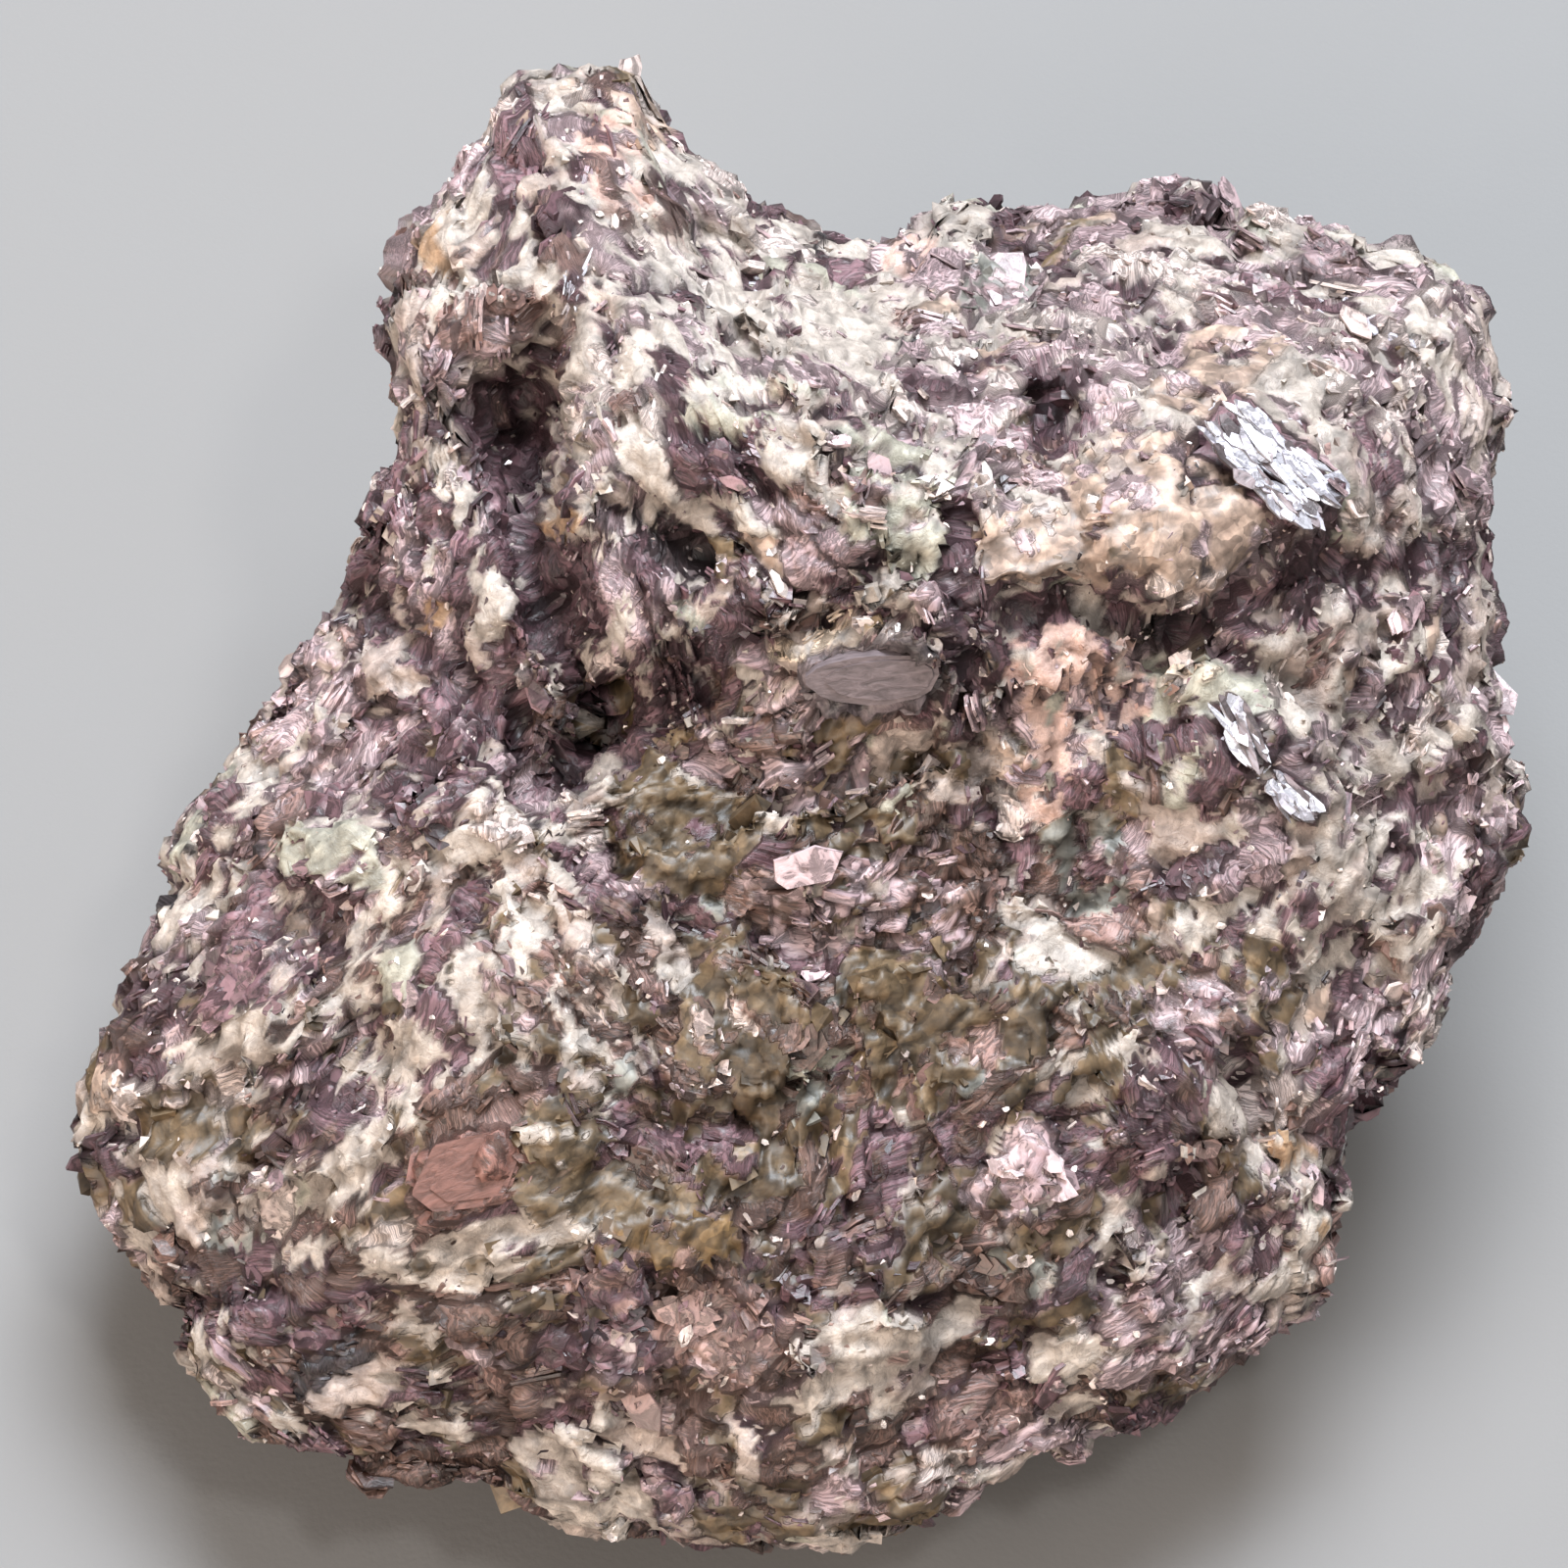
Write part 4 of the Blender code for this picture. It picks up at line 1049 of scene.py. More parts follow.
def plates(name, centres, axes, sizes, colour, sides, seed, material, rings=None):
    """Flat plates: an uneven ring of corners, low and high, times half length, width and thickness.

    A corner k of n is at the angle 2 pi k / n plus up to a third of a step, at 0.8 to 1.1 of the
    half sizes. The plate bends by a share of its length with the square of its length. Rings that
    are given take the place of the uneven ones and stay flat.
    """
    dice = np.random.default_rng(seed)
    count = len(centres)
    astray = dice.uniform(-CORNERS_ASTRAY, CORNERS_ASTRAY, (count, sides))
    angle = (np.arange(sides) + astray) * (2 * math.pi / sides)
    reach = dice.uniform(*CORNERS_REACH, (count, sides))
    ring = np.stack((np.cos(angle) * reach, np.sin(angle) * reach), axis=2)
    bend = dice.uniform(-MOST_BEND, MOST_BEND, (count, 1)) * ring[:, :, 0] ** 2
    if rings is not None:
        ring, bend = rings, np.zeros((count, sides))
    level = np.ones((count, sides, 1))
    low = np.concatenate((ring * LOWER_CAP, -level), axis=2)
    high = np.concatenate((ring, level), axis=2)
    local = np.concatenate((low, high), axis=1) * sizes[:, None, :]
    local[:, :, 2] += np.concatenate((bend, bend), axis=1) * sizes[:, :1]
    quad = plate_template(sides)
    return copies(name, centres, axes, local, quad, plate_square(quad, sides), colour, dice, material)


def blobs(name, centres, axes, sizes, colour, unevenness, seed, material):
    """Angular grains: the eight corners of a cube at uneven reach, times three half sizes."""
    dice = np.random.default_rng(seed)
    ball, quad, square, number = ball_grid(1)
    reach = dice.uniform(1 - unevenness, 1 + unevenness, (len(centres), len(ball), 1))
    local = ball[None] * reach * sizes[:, None, :]
    side = np.stack((number % 3, number // 3), axis=1)[:, None, :]
    square = (side + SIDE_MARGIN + square * SIDE_LONG) / (3, 2)
    return copies(name, centres, axes, local, quad, square, colour, dice, material)


def spots_on(rock, build, spacing, seed):
    """Spots on minerals of one build, with the outward way, kind, tone and sheet way of each."""
    spots, outward = scatter(rock, spacing, seed)
    astray = np.random.default_rng(seed + 3).normal(0, STRAY, spots.shape)
    kind, tone, across_sheets = grains(spots + astray)[:3]
    keep = (BUILD[kind] == build) & ~on_crystal(spots)
    return [values[keep] for values in (spots, outward, kind, tone, across_sheets)]


def fitting(spots, outward):
    """Share of its size that a piece keeps: less in hollows, and less at the sides, seen edge on."""
    facing = np.maximum(outward[:, 2] * FULL_IN_FRONT, -outward[:, 2] * FULL_BEHIND)
    turned = 1 - np.clip(facing, 0, 1)
    return (1 - SMALL_IN_HOLLOWS * hollows(spots)) * (1 - SMALL_AT_SIDES * turned)


def seated(spots, outward, axes, sizes, proud, dice):
    """Middles of the pieces, each sunk until only a random proud part stands over the rock."""
    tall = (np.abs(np.einsum("nkx,nx->nk", axes, outward)) * sizes).sum(axis=1)
    return spots + outward * (dice.uniform(*proud, len(spots)) - tall)[:, None]


def tilted_axes(across_sheets, guide, habit, dice):
    """Axes of each piece, out of its sheets and along its guide, both a little astray."""
    out = unit(across_sheets + dice.normal(0, habit.tilt, across_sheets.shape))
    return sheet_axes(out, guide + dice.normal(0, habit.astray, guide.shape))


def half_lengths(length, habit, count, dice):
    """The length times e to the power of a random number within the habit's limits."""
    return length * np.exp(np.clip(dice.normal(0, habit.spread, count), *habit.limits))


def half_sizes(long, habit, dice):
    """Half length, half width and half thickness, the last two random shares of the first."""
    width = long * dice.uniform(*habit.width, len(long))
    return np.stack((long, width, long * dice.uniform(*habit.thickness, len(long))), axis=1)


def shades(tone, shade, dice):
    """Shade of each piece: the least, a share of its tone and a random part."""
    least, more, spread = shade
    return least + more * tone + dice.normal(0, spread, len(tone))


def make_flakes(name, rock, spacing, length, seed, material):
    """Single mica sheets, standing or lying as the sheets of their grain do."""
    spots, outward, kind, tone, across_sheets = spots_on(rock, MICA, spacing, seed)
    dice = np.random.default_rng(seed + 1)
    count = len(spots)
    axes = tilted_axes(across_sheets, outward, FLAKE, dice)
    lying = (axes[:, 2] * outward).sum(axis=1) ** 4
    long = half_lengths(length, FLAKE, count, dice) * fitting(spots, outward)
    sizes = half_sizes(long * (1 - SMALL_WHEN_FLAT * lying), FLAKE, dice) + (0, 0, FLAKE_EXTRA)
    shade = shades(tone, MICA_SHADE, dice)
    # Painted glints and painted shade: a few flakes turn pale pearl or dark plum.
    chance = dice.uniform(0, 1, count)
    kind = np.where(chance > 1 - PLUM_SHADE_SHARE, NAMES.index("plum"), kind)
    kind = np.where(chance < PEARL_GLINT_SHARE, NAMES.index("pearl"), kind)
    centres = seated(spots, outward, axes, sizes, FLAKE.proud, dice)
    piece = plates(name, centres, axes, sizes, colours(kind, shade), PLATE_SIDES, seed + 2, material)


def make_books(name, rock, spacing, length, layers, seed, material):
    """Mica books: a few thick sheets on each other, each shifted and shaded a little differently."""
    spots, outward, kind, tone, across_sheets = spots_on(rock, MICA, spacing, seed)
    dice = np.random.default_rng(seed + 1)
    count = len(spots)
    axes = tilted_axes(across_sheets, outward, BOOK, dice)
    long = half_lengths(length, BOOK, count, dice) * fitting(spots, outward)
    sizes = half_sizes(long, BOOK, dice)
    centres = seated(spots, outward, axes, sizes, BOOK.proud, dice)
    level = (np.arange(layers) + 0.5) / layers * 2 - 1
    shift = dice.normal(0, BOOK_SHIFT, (count, layers, 2)) * long[:, None, None]
    offset = np.concatenate((shift, (level * sizes[:, 2:])[:, :, None]), axis=2)
    centres = centres[:, None, :] + np.einsum("nlk,nkx->nlx", offset, axes)
    axes, sizes, kind, tone = (np.repeat(each, layers, axis=0) for each in (axes, sizes, kind, tone))
    sizes = sizes * (1, 1, BOOK_FILL / layers)
    sizes[:, :2] *= dice.uniform(*BOOK_SHEETS, (count * layers, 1))
    colour = colours(kind, shades(tone, MICA_SHADE, dice))
    centres = centres.reshape(-1, 3)
    piece = plates(name, centres, axes, sizes, colour, PLATE_SIDES, seed + 2, material)


def make_grains(name, build, rock, spacing, length, habit, unevenness, seed, material):
    """Grains of feldspar or quartz, sunk most of the way into the rock, their length on the sheets' run."""
    spots, outward, kind, tone = spots_on(rock, build, spacing, seed)[:4]
    dice = np.random.default_rng(seed + 1)
    run, out = sheet_run(spots)
    axes = tilted_axes(outward, np.cross(out, run), habit, dice)
    long = half_lengths(length, habit, len(spots), dice) * fitting(spots, outward)
    sizes = half_sizes(long, habit, dice)
    colour = colours(kind, shades(tone, GRAIN_SHADE, dice))
    centres = seated(spots, outward, axes, sizes, habit.proud, dice)
    piece = blobs(name, centres, axes, sizes, colour, unevenness, seed + 2, material)


# Slivers of the broken crystals: how many to the product of a crystal's half sizes and besides, half
# length, half width and half thickness, sides, the share of their size that stays in from the
# crystal's edge, their level, how they tilt and turn, and the share of grey ones.
SLIVERS_TO_AREA = 7.0
SLIVERS_BESIDES = 6
SLIVER_LONG = (0.5, 2.1)
SLIVER_BROAD = (0.20, 0.55)
SLIVER_THICK = 0.10
SLIVER_SIDES = 8
SLIVER_INSET = 0.7
SLIVER_LEVEL = (-0.48, -0.02)
SLIVER_TILT = 0.12
SLIVER_TURN = 0.16
GREY_SHARE = 0.22
# Outlines of the whole crystals, corner by corner, across and up, and how much of each side the cuts
# at its corners take.
OUTLINES = {
    "brick": (
        (-22.0, -20.4), (-20.0, -19.9), (-18.3, -19.5), (-16.6, -21.3), (-17.6, -24.0), (-20.0, -24.3),
        (-22.0, -24.5), (-23.4, -23.4),
    ),
    "grey": (
        (0.5, 7.9), (1.8, 9.1), (4.4, 9.9), (7.9, 10.0), (9.2, 9.0), (8.3, 6.9), (5.2, 6.0), (2.0, 6.4),
    ),
}
CORNER_CUT = {"grey": 0.20, "brick": 0.07}
# The two sheets of a whole crystal: share of the outline, level, half thickness, shift, and tone.
WHOLE_SHEETS = ((1.0, -1.66, 1.45, 0.0, 0.65), (0.80, -0.26, 0.16, 0.45, 0.60))


def make_broken_crystals(material):
    """Silvery mica crystals broken to long slivers side by side, at uneven heights, a few of them grey.
    Their pale bluish colour is partly a painted sheen.
    """
    dice = np.random.default_rng(SEED + 90)
    centres, axes, sizes, kinds, tones = [], [], [], [], []
    for crystal in CRYSTALS:
        if crystal.kind != "silver":
            continue
        face = crystal_axes(crystal)
        middle = np.array((crystal.across, crystal.up, crystal_level(crystal)))
        half = np.array((crystal.half_length, crystal.half_width))
        count = int(crystal.half_length * crystal.half_width * SLIVERS_TO_AREA) + SLIVERS_BESIDES
        for sliver in range(count):
            size = np.array((dice.uniform(*SLIVER_LONG), dice.uniform(*SLIVER_BROAD)))
            spread = dice.uniform(-1, 1, 2)
            spread = spread / max(1, np.hypot(*spread)) * (half - SLIVER_INSET * size)
            local = np.array((*spread, dice.uniform(*SLIVER_LEVEL)))
            out = unit(face[2] + dice.normal(0, SLIVER_TILT, 3))
            along = face[0] + dice.normal(0, SLIVER_TURN, 3)
            along = unit(along - out * (along @ out))
            centres.append(middle + local @ face)
            axes.append(np.stack((along, np.cross(out, along), out)))
            sizes.append((*size, SLIVER_THICK))
            kinds.append(NAMES.index("grey" if dice.uniform() < GREY_SHARE else "silver"))
            tones.append(dice.uniform(0.0, 1.0))
    centres, axes, sizes = np.array(centres), np.array(axes), np.array(sizes)
    colour = colours(np.array(kinds), np.array(tones))
    piece = plates("broken_crystals", centres, axes, sizes, colour, SLIVER_SIDES, SEED + 91, material)


def cut_corners(ring, share):
    """Ring with twice the points: each corner gives way to two, a share along its two sides."""
    after = np.roll(ring, -1, axis=0)
    pairs = (ring + share * (after - ring), after - share * (after - ring))
    return np.stack(pairs, axis=1).reshape(-1, 2)


def make_whole_crystals(material):
    """Mica crystals with a whole flat face: a thick sheet of the outline and a thin one on it."""
    centres, axes, sizes, kinds, tones, rings = [], [], [], [], [], []
    for crystal in CRYSTALS:
        if crystal.kind not in OUTLINES:
            continue
        face = crystal_axes(crystal)
        corners = cut_corners(np.array(OUTLINES[crystal.kind]), CORNER_CUT[crystal.kind])
        x, y = corners.mean(axis=0)
        fall = crystal.right * (x - crystal.across) + crystal.rise * (y - crystal.up)
        middle = np.array((x, y, crystal_level(crystal) - fall))
        local = np.pad(corners - (x, y), ((0, 0), (0, 1))) @ face.T
        for share, level, thick, aside, tone in WHOLE_SHEETS:
            centres.append(middle + face[2] * level + face[0] * aside)
            axes.append(face)
            sizes.append((1, 1, thick))
            kinds.append(NAMES.index(crystal.kind))
            tones.append(tone)
            rings.append(local[:, :2] * share)
    rings = np.array(rings)
    clockwise = np.cross(rings[:, 0], rings[:, 1]) < 0
    rings[clockwise] = rings[clockwise, ::-1]
    centres, axes, sizes = np.array(centres), np.array(axes), np.array(sizes)
    colour = colours(np.array(kinds), np.array(tones))
    sides = rings.shape[1]
    piece = plates("whole_crystals", centres, axes, sizes, colour, sides, SEED + 92, material, rings)


def make_glints(name, rock, spacing, length, seed, material):
    """Tiny clean sheets that lie so that they catch the light, their pale pearl colour a painted highlight
    on top.
    """
    spots, outward = scatter(rock, spacing, seed)
    ahead = outward[:, 2] > GLINT_BACK
    spots, outward = spots[ahead], outward[ahead]
    dice = np.random.default_rng(seed + 1)
    count = len(spots)
    axes = tilted_axes(np.tile(GLINT_WAY, (count, 1)), np.zeros((count, 3)), GLINT, dice)
    long = half_lengths(length, GLINT, count, dice)
    width = long * dice.uniform(*GLINT.width, count)
    sizes = np.stack((long, width, long * GLINT_THICKNESS), axis=1)
    centres = seated(spots, outward, axes, sizes, GLINT.proud, dice)
    colour = colours(np.full(count, NAMES.index("pearl")), dice.uniform(*GLINT_SHADES, count))
    piece = plates(name, centres, axes, sizes, colour, PLATE_SIDES, seed + 2, material)


# Finishes.

# How many of a pattern's parts there are to a millimetre: streaks along a mica sheet, aside and
# across it, clouds of a whole crystal, small cells of feldspar and quartz, their clouds, the waves
# that bend them and how far those push, in mm, and the board's clouds and tooth.
STREAKS_TO_MM = (0.6, 0.6, 2.6)
CRYSTAL_CLOUDS_TO_MM = (0.7, 1.9, 3.0)
CELLS_TO_MM = 1.1
CLOUDS_TO_MM = 0.9
WAVES_TO_MM = 0.8
WAVE_PUSH = (0.9, 0.9, 0.9)
BOARD_CLOUDS_TO_MM = 0.05
TOOTH_TO_MM = 2.0
# Where noise mostly lies, and between which levels of it the streaks of mica, the clouds of grains
# and those of a whole crystal go from dark to pale.
NOISE_RANGE = (0.3, 0.7)
STREAK_RANGE = (0.40, 0.60)
CLOUD_RANGE = (0.34, 0.66)
CRYSTAL_RANGE = (0.36, 0.64)
# How dark and how pale those are, times the plain colour.
MICA_SHADES = (0.44, 1.46)
FELDSPAR_SHADES = (0.70, 1.26)
QUARTZ_SHADES = (0.60, 1.36)
CRYSTAL_SHADES = (0.58, 1.30)
BOARD_SHADES = (0.97, 1.03)
# Small cells: the distances from their middle between which their shade changes and the shades
# there, the range of whole cells' shades, and how much of the height they take off.
FELDSPAR_CELLS = (0.40, 0.75, 1.04, 0.80)
FELDSPAR_FACETS = (0.86, 1.14)
FELDSPAR_DIMPLES = 0.25
QUARTZ_CELLS = (0, 0.7, 1.15, 0.8)
QUARTZ_FACETS = (0.62, 1.38)
QUARTZ_DIMPLES = 0.5
QUARTZ_RELIEF = 0.22
# Thin cracks: the level of the noise that they run along, how far from it they end, their shade.
MICA_CRACK = (0.47, 0.022, 0.35)
FELDSPAR_CRACK = (0.53, 0.012, 0.58)
# Roughness where the noise is low and where it is high.
MICA_ROUGH = (0.30, 0.50)
FELDSPAR_ROUGH = (0.62, 0.42)
QUARTZ_ROUGH = (0.40, 0.56)
CRYSTAL_ROUGH = (0.42, 0.60)
BOARD_ROUGH = (0.7, 0.8)
# The colour of cloudy quartz, the noise where it starts and is full, and how much of it shows then.
CLOUDY_QUARTZ = (0.48, 0.40, 0.31, 1)
CLOUDY_FROM_TO = (0.62, 0.74)
MOST_CLOUDY = 0.10
BOARD_COLOUR = (0.172, 0.170, 0.167, 1)
# How ragged the border between minerals is on the skin, and over what they change.
RAGGED = (-0.35, 0.35)
BORDER = (0.42, 0.58)


class Nodes:
    """Adds nodes to one material's tree and links them."""

    def __init__(self, name):
        self.material = bpy.data.materials.new(name)
        self.material.use_nodes = True
        self.tree = self.material.node_tree
        self.shader = self.tree.nodes["Principled BSDF"]

    def add(self, kind, inputs=None, **settings):
        """A node of one kind with its inputs, each a value or another node's output, and settings."""
        node = self.tree.nodes.new(kind)
        for key, value in settings.items():
            setattr(node, key, value)
        for key, value in (inputs or {}).items():
            self.put(node.inputs[key], value)
        return node

    def put(self, socket, value):
        """A socket is linked to another node's output or takes a plain value."""
        if isinstance(value, bpy.types.NodeSocket):
            self.tree.links.new(value, socket)
        else:
            socket.default_value = value

    def maths(self, operation, a, b):
        """One operation on two numbers."""
        return self.add("ShaderNodeMath", {0: a, 1: b}, operation=operation).outputs[0]

    def product(self, a, b):
        """a times b."""
        return self.maths("MULTIPLY", a, b)

    def between(self, value, low, high, to_low, to_high):
        """A number that goes from one limit to another as the value goes from low to high."""
        inputs = {"Value": value, "From Min": low, "From Max": high, "To Min": to_low, "To Max": to_high}
        return self.add("ShaderNodeMapRange", inputs).outputs[0]

    def scaled(self, vector, factors):
        """A vector with each of its parts times its own factor."""
        return self.add("ShaderNodeVectorMath", {0: vector, 1: factors}, operation="MULTIPLY").outputs[0]

    def noise(self, vector, scale, detail, roughness=0.6, distortion=0.0):
        """Cloudy noise from 0 to 1."""
        inputs = {"Vector": vector, "Scale": scale, "Detail": detail}
        inputs.update({"Roughness": roughness, "Distortion": distortion})
        return self.add("ShaderNodeTexNoise", inputs).outputs[0]

    def cells(self, vector, scale, output="Distance"):
        """The distance from a cell's middle, or its own colour."""
        return self.add("ShaderNodeTexVoronoi", {"Vector": vector, "Scale": scale}).outputs[output]

    def mix(self, factor, a, b, blend="MIX"):
        """Colour a with as much of colour b as the factor says."""
        node = self.add("ShaderNodeMix", data_type="RGBA", blend_type=blend, clamp_factor=True)
        for key, value in (("Factor_Float", factor), ("A_Color", a), ("B_Color", b)):
            socket = next(one for one in node.inputs if one.identifier == key)
            self.put(socket, value)
        return next(one for one in node.outputs if one.identifier == "Result_Color")

    def attribute(self, name, output):
        """What the mesh keeps under a name."""
        return self.add("ShaderNodeAttribute", attribute_name=name).outputs[output]

    def gloss(self, specular, coat, coat_roughness):
        """How strongly the surface and a clear coat on it shine, and how rough that coat is."""
        self.shader.inputs["Specular IOR Level"].default_value = specular
        self.shader.inputs["Coat Weight"].default_value = coat
        self.shader.inputs["Coat Roughness"].default_value = coat_roughness

    def finish(self, colour, roughness, height, depth):
        """The material with its colour and roughness, and a relief of the given depth in mm."""
        self.put(self.shader.inputs["Base Color"], colour)
        self.put(self.shader.inputs["Roughness"], roughness)
        bump = self.add("ShaderNodeBump", {"Height": height, "Strength": 1.0, "Distance": depth * MM})
        self.put(self.shader.inputs["Normal"], bump.outputs[0])
        return self.material


def in_mm(nodes):
    """Object coordinates in millimetres."""
    place = nodes.add("ShaderNodeTexCoord").outputs["Object"]
    return nodes.scaled(place, (1 / MM, 1 / MM, 1 / MM))


def shaded(nodes, colour, factor):
    """A colour made darker or lighter by a number round 1."""
    grey = nodes.add("ShaderNodeCombineColor", {0: factor, 1: factor, 2: factor}).outputs[0]
    return nodes.mix(1.0, colour, grey, "MULTIPLY")


def cracked(nodes, factor, noise, level, width, dark):
    """A factor made darker in thin cracks, which run where noise passes through a level."""
    away = nodes.maths("ABSOLUTE", nodes.maths("SUBTRACT", noise, level), 0)
    return nodes.product(factor, nodes.between(away, 0.0, width, dark, 1.0))


def mica_pattern(nodes, colour):
    """Crisp dark and pale streaks along the sheets, and cracks. Gives colour, roughness and height."""
    layers = nodes.scaled(nodes.attribute("layers", "Vector"), STREAKS_TO_MM)
    streaks = nodes.noise(layers, 1.0, 5, roughness=0.66, distortion=1.1)
    factor = nodes.between(streaks, *STREAK_RANGE, *MICA_SHADES)
    factor = cracked(nodes, factor, streaks, *MICA_CRACK)
    return shaded(nodes, colour, factor), nodes.between(streaks, *NOISE_RANGE, *MICA_ROUGH), streaks


def grain_noise(nodes, place):
    """For feldspar and quartz: cloudy noise, the distance within small cells, each cell's number."""
    waves = {"Vector": place, "Scale": WAVES_TO_MM, "Detail": 2}
    push = nodes.scaled(nodes.add("ShaderNodeTexNoise", waves).outputs["Color"], WAVE_PUSH)
    bent = nodes.add("ShaderNodeVectorMath", {0: place, 1: push}, operation="ADD").outputs[0]
    number = nodes.add("ShaderNodeSeparateColor", {0: nodes.cells(bent, CELLS_TO_MM, "Color")})
    cloud = nodes.noise(place, CLOUDS_TO_MM, 5, roughness=0.66, distortion=0.5)
    return cloud, nodes.cells(bent, CELLS_TO_MM), number.outputs[0]


def feldspar_pattern(nodes, colour, cloud, cells, facet):
    """Sugary grains with darker edges and thin cracks. Gives colour, roughness and height."""
    height = nodes.maths("SUBTRACT", cloud, nodes.product(cells, FELDSPAR_DIMPLES))
    factor = nodes.between(cloud, *CLOUD_RANGE, *FELDSPAR_SHADES)
    factor = nodes.product(factor, nodes.between(cells, *FELDSPAR_CELLS))
    factor = nodes.product(factor, nodes.between(facet, 0, 1, *FELDSPAR_FACETS))
    factor = cracked(nodes, factor, cloud, *FELDSPAR_CRACK)
    roughness = nodes.between(cloud, *NOISE_RANGE, *FELDSPAR_ROUGH)
    return shaded(nodes, colour, factor), roughness, height


def quartz_pattern(nodes, colour, cloud, cells, facet):
    """Mottled glassy grains, paler where they are cloudy. Gives colour, roughness and height."""
    factor = nodes.between(cloud, *CLOUD_RANGE, *QUARTZ_SHADES)
    factor = nodes.product(factor, nodes.between(cells, *QUARTZ_CELLS))
    factor = nodes.product(factor, nodes.between(facet, 0, 1, *QUARTZ_FACETS))
    pale = nodes.between(cloud, *CLOUDY_FROM_TO, 0.0, MOST_CLOUDY)
    colour = nodes.mix(pale, shaded(nodes, colour, factor), CLOUDY_QUARTZ)
    height = nodes.maths("SUBTRACT", cloud, nodes.product(cells, QUARTZ_DIMPLES))
    height = nodes.product(height, QUARTZ_RELIEF)
    return colour, nodes.between(cloud, *NOISE_RANGE, *QUARTZ_ROUGH), height


def skin_finish():
    """The rock between the single pieces: each kind's own pattern where the skin is of that kind."""
    nodes = Nodes("rock skin")
    colour = nodes.attribute("colour", "Color")
    build = nodes.add("ShaderNodeSeparateColor", {0: nodes.attribute("build", "Color")})
    noise = grain_noise(nodes, in_mm(nodes))
    ragged = nodes.between(noise[0], *NOISE_RANGE, *RAGGED)
    mica = mica_pattern(nodes, colour)
    feldspar = feldspar_pattern(nodes, colour, *noise)
    quartz = quartz_pattern(nodes, colour, *noise)
    is_feldspar, is_quartz = (
        nodes.between(nodes.maths("ADD", build.outputs[n], ragged), *BORDER, 0, 1) for n in (0, 1)
    )
    shade, roughness, height = (
        nodes.mix(is_quartz, nodes.mix(is_feldspar, mica[n], feldspar[n]), quartz[n]) for n in range(3)
    )
    shade = shaded(nodes, shade, build.outputs[2])
    return nodes.finish(shade, roughness, height, depth=0.22)


def mica_finish():
    """Pearly cleavage faces with fine sheet edges."""
    nodes = Nodes("mica")
    colour, roughness, height = mica_pattern(nodes, nodes.attribute("colour", "Color"))
    nodes.gloss(specular=0.6, coat=0.10, coat_roughness=0.20)
    return nodes.finish(colour, roughness, height, depth=0.10)


def crystal_finish():
    """Whole cleavage faces: an even colour, faintly clouded."""
    nodes = Nodes("mica crystal")
    layers = nodes.scaled(nodes.attribute("layers", "Vector"), CRYSTAL_CLOUDS_TO_MM)
    cloud = nodes.noise(layers, 1.0, 6, roughness=0.66, distortion=0.6)
    factor = nodes.between(cloud, *CRYSTAL_RANGE, *CRYSTAL_SHADES)
    colour = shaded(nodes, nodes.attribute("colour", "Color"), factor)
    roughness = nodes.between(cloud, *NOISE_RANGE, *CRYSTAL_ROUGH)
    return nodes.finish(colour, roughness, cloud, depth=0.10)


def glint_finish():
    """Clean mica faces with a mirror-like gloss."""
    nodes = Nodes("clean mica")
    colour, roughness, height = mica_pattern(nodes, nodes.attribute("colour", "Color"))
    nodes.gloss(specular=0.9, coat=0.8, coat_roughness=0.08)
    return nodes.finish(colour, nodes.product(roughness, 0.5), height, depth=0.02)


def feldspar_finish():
    """White to grey grains with a satin break."""
    nodes = Nodes("feldspar")
    noise = grain_noise(nodes, in_mm(nodes))
    colour, roughness, height = feldspar_pattern(nodes, nodes.attribute("colour", "Color"), *noise)
    return nodes.finish(colour, roughness, height, depth=0.12)


def quartz_finish():
    """Smoky and pale grains with a glassy break."""
    nodes = Nodes("quartz")
    noise = grain_noise(nodes, in_mm(nodes))
    colour, roughness, height = quartz_pattern(nodes, nodes.attribute("colour", "Color"), *noise)
    return nodes.finish(colour, roughness, height, depth=0.08)


def floor_finish():
    """Pale matt board with a faint tooth."""
    nodes = Nodes("pale board")
    cloud = nodes.noise(in_mm(nodes), BOARD_CLOUDS_TO_MM, 3)
    tooth = nodes.noise(in_mm(nodes), TOOTH_TO_MM, 2)
    colour = shaded(nodes, BOARD_COLOUR, nodes.between(cloud, *NOISE_RANGE, *BOARD_SHADES))
    roughness = nodes.between(cloud, *NOISE_RANGE, *BOARD_ROUGH)
    return nodes.finish(colour, roughness, tooth, depth=0.02)


# The stage.

# The board, in mm: half its length, the squares along it, how far it lies under the lump, and how
# its edge curls: from where, over what, and how deep.
BOARD_HALF = 1500
BOARD_SQUARES = 30
BOARD_GAP = 0.05
CURL_FROM = 1400
CURL_OVER = 700
CURL_DEPTH = 20
# What the camera sees, in mm and in the axes of the face, and where its view starts, in metres.
FRAME_WIDTH = 98.0
FRAME_MIDDLE = (-0.5, 1.8)
SENSOR = 36.0
CLIP_START = 0.01
# Lamps look at this place over the board, in metres, with their tops this way.
LAMP_AIM = (0, 0, 0.02)
LAMP_TOP = (0.0, 1.0, 0.1)
ROOM_COLOUR = (0.92, 0.90, 0.88, 1)
ROOM_LIGHT = 0.60


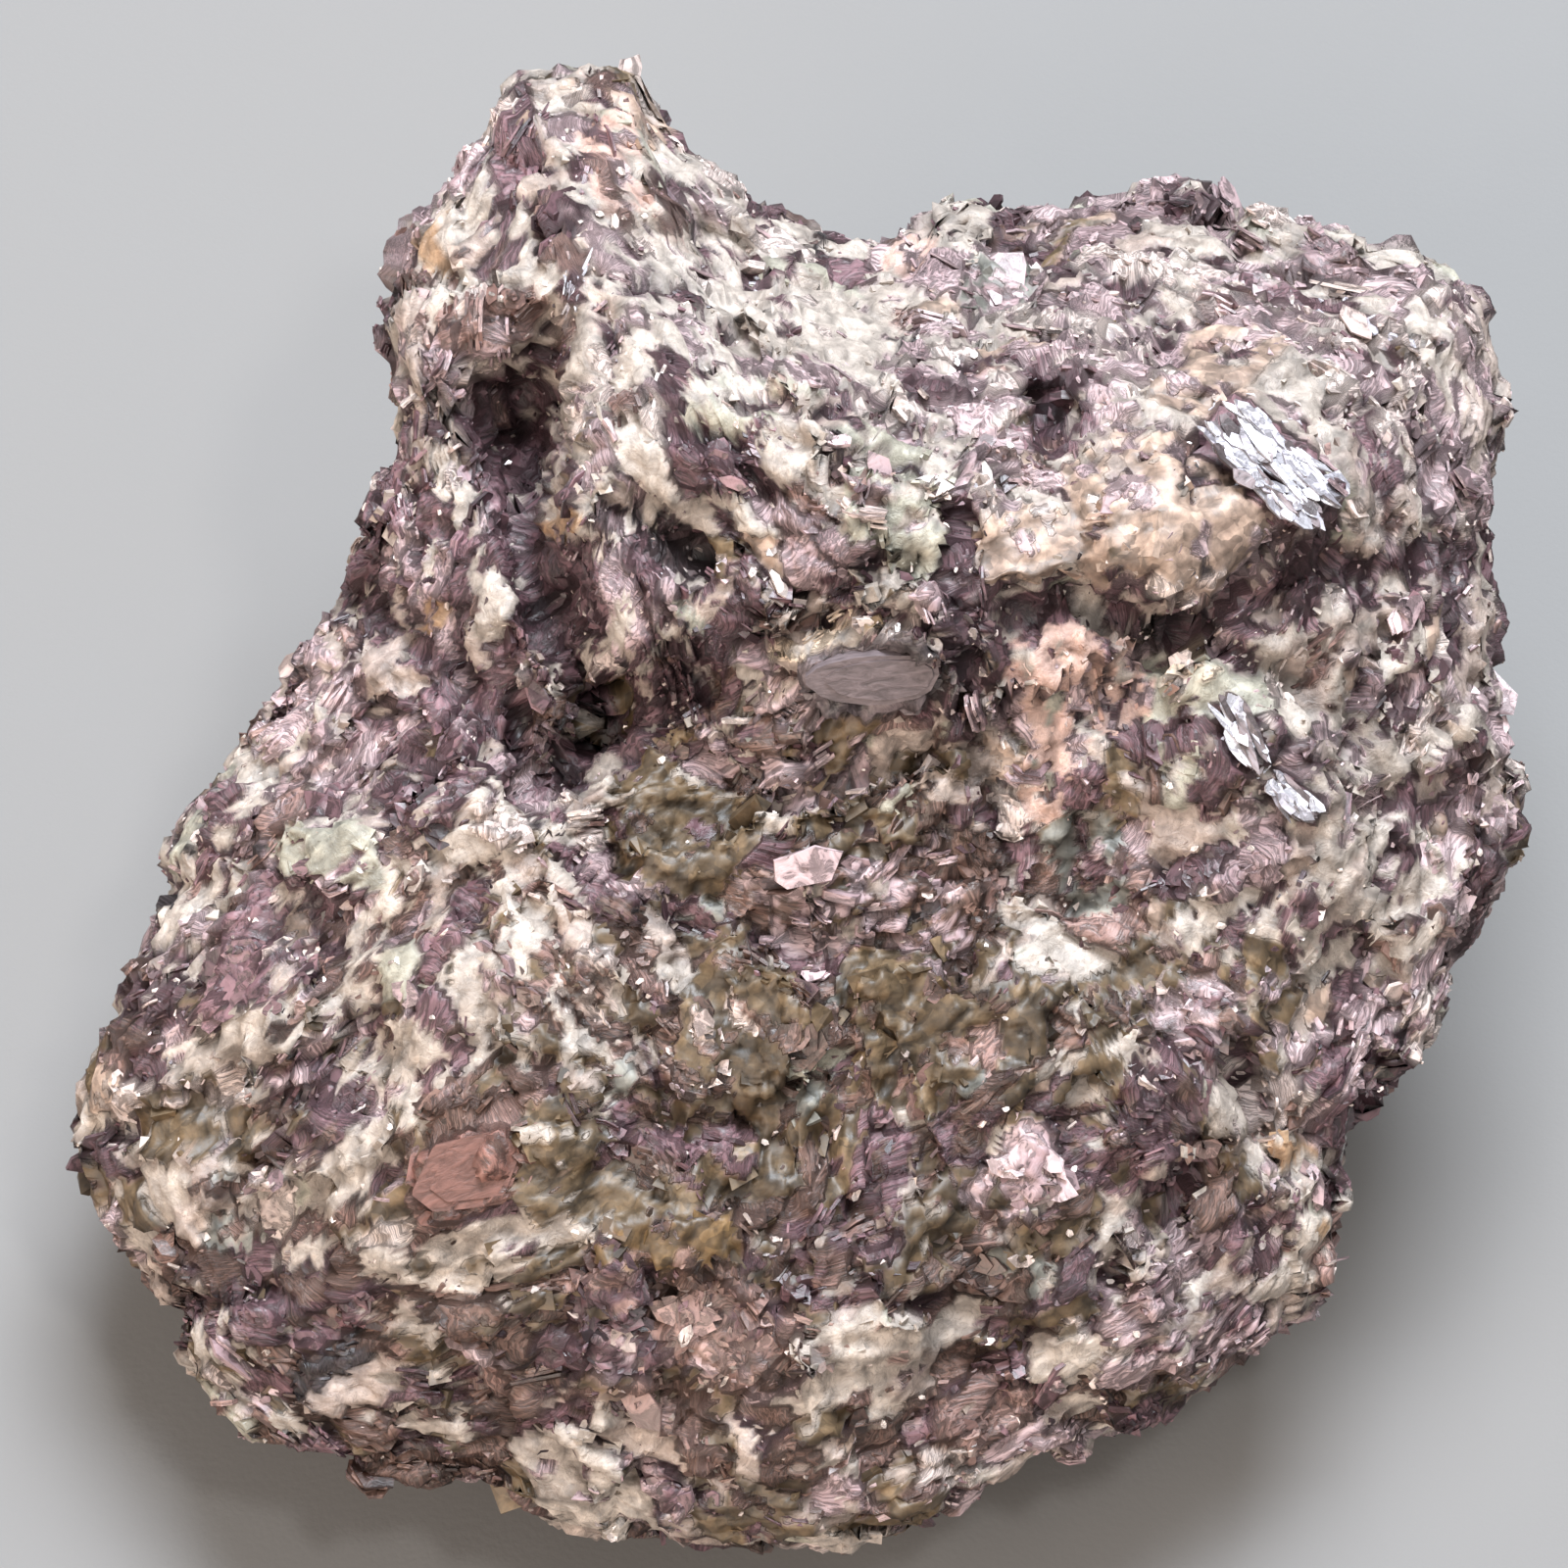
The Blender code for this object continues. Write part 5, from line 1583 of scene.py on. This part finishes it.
def make_floor():
    """A level board under the lump, its edge curled slightly down."""
    reach = np.linspace(-BOARD_HALF, BOARD_HALF, BOARD_SQUARES + 1)
    x, y = (grid.ravel() for grid in np.meshgrid(reach, reach, indexing="ij"))
    drop = -BOARD_GAP - CURL_DEPTH * np.clip((np.hypot(x, y) - CURL_FROM) / CURL_OVER, 0, 1) ** 2
    mesh = bpy.data.meshes.new("floor")
    mesh.from_pydata(np.stack((x, y, drop), axis=1) * MM, [], grid_quads(BOARD_SQUARES))
    mesh.materials.append(floor_finish())
    floor = bpy.data.objects.new("floor", mesh)
    bpy.context.scene.collection.objects.link(floor)


def look_along(thing, place, back, up):
    """Put a lamp or camera at a place, its back to one way and its top to another."""
    back = unit(np.array(back, float))
    right = unit(np.cross(np.array(up, float), back))
    turned = np.eye(4)
    turned[:3, :3] = np.stack((right, np.cross(back, right), back), axis=1)
    turned[:3, 3] = place
    thing.matrix_world = Matrix(turned.tolist())


def make_camera():
    """Square on to the broken face, framed as wide as the photograph."""
    data = bpy.data.cameras.new("camera")
    data.sensor_width = SENSOR
    data.lens = SENSOR * SEEN_FROM / FRAME_WIDTH
    data.clip_start = CLIP_START
    camera = bpy.data.objects.new("camera", data)
    bpy.context.scene.collection.objects.link(camera)
    place = np.array((*FRAME_MIDDLE, SEEN_FROM)) @ AXES - STAND
    look_along(camera, place * MM, AXES[2], AXES[1])
    bpy.context.scene.camera = camera


def make_lamp(name, way, distance, size, power, colour):
    """A square soft lamp that looks at the lump from one way, given in the axes of the face."""
    data = bpy.data.lights.new(name, "AREA")
    data.shape = "SQUARE"
    data.size = size
    data.energy = power
    data.color = colour
    lamp = bpy.data.objects.new(name, data)
    bpy.context.scene.collection.objects.link(lamp)
    back = unit(np.array(way, float)) @ AXES
    look_along(lamp, back * distance + LAMP_AIM, back, LAMP_TOP)


def make_light():
    """Cool daylight from above the peak, a warm weaker fill from below, and a small bright window."""
    cool, warm, pale = (0.86, 0.92, 1.0), (1.0, 0.83, 0.70), (1.0, 0.97, 0.94)
    make_lamp("window", (0.10, 0.80, 0.60), distance=0.9, size=0.46, power=20.5, colour=cool)
    make_lamp("fill", (-0.60, -0.38, 0.70), distance=1.1, size=0.9, power=13.5, colour=warm)
    make_lamp("glint", (0.25, 0.25, 0.95), distance=1.0, size=0.10, power=2.2, colour=pale)
    world = bpy.data.worlds.new("room")
    world.use_nodes = True
    background = world.node_tree.nodes["Background"]
    background.inputs["Color"].default_value = ROOM_COLOUR
    background.inputs["Strength"].default_value = ROOM_LIGHT
    bpy.context.scene.world = world
    bpy.context.scene.view_settings.view_transform = "Standard"


rock = make_skin()
mica = mica_finish()
clean = glint_finish()
make_books("mica_books", rock, spacing=2.46, length=1.6, layers=4, seed=SEED + 100, material=mica)
make_flakes("mica_flakes", rock, spacing=1.25, length=1.10, seed=SEED + 110, material=mica)
make_flakes("mica_scales", rock, spacing=1.25, length=0.55, seed=SEED + 150, material=mica)
make_grains(
    "feldspar_grains", FELDSPAR, rock, spacing=1.1, length=0.90, habit=SUGAR_GRAIN, unevenness=0.22,
    seed=SEED + 120, material=feldspar_finish(),
)
make_grains(
    "quartz_grains", QUARTZ, rock, spacing=1.7, length=1.5, habit=GLASSY_GRAIN, unevenness=0.26,
    seed=SEED + 130, material=quartz_finish(),
)
make_broken_crystals(mica)
make_whole_crystals(crystal_finish())
make_glints("mica_glints", rock, spacing=6.5, length=0.28, seed=SEED + 140, material=clean)
make_floor()
make_camera()
make_light()
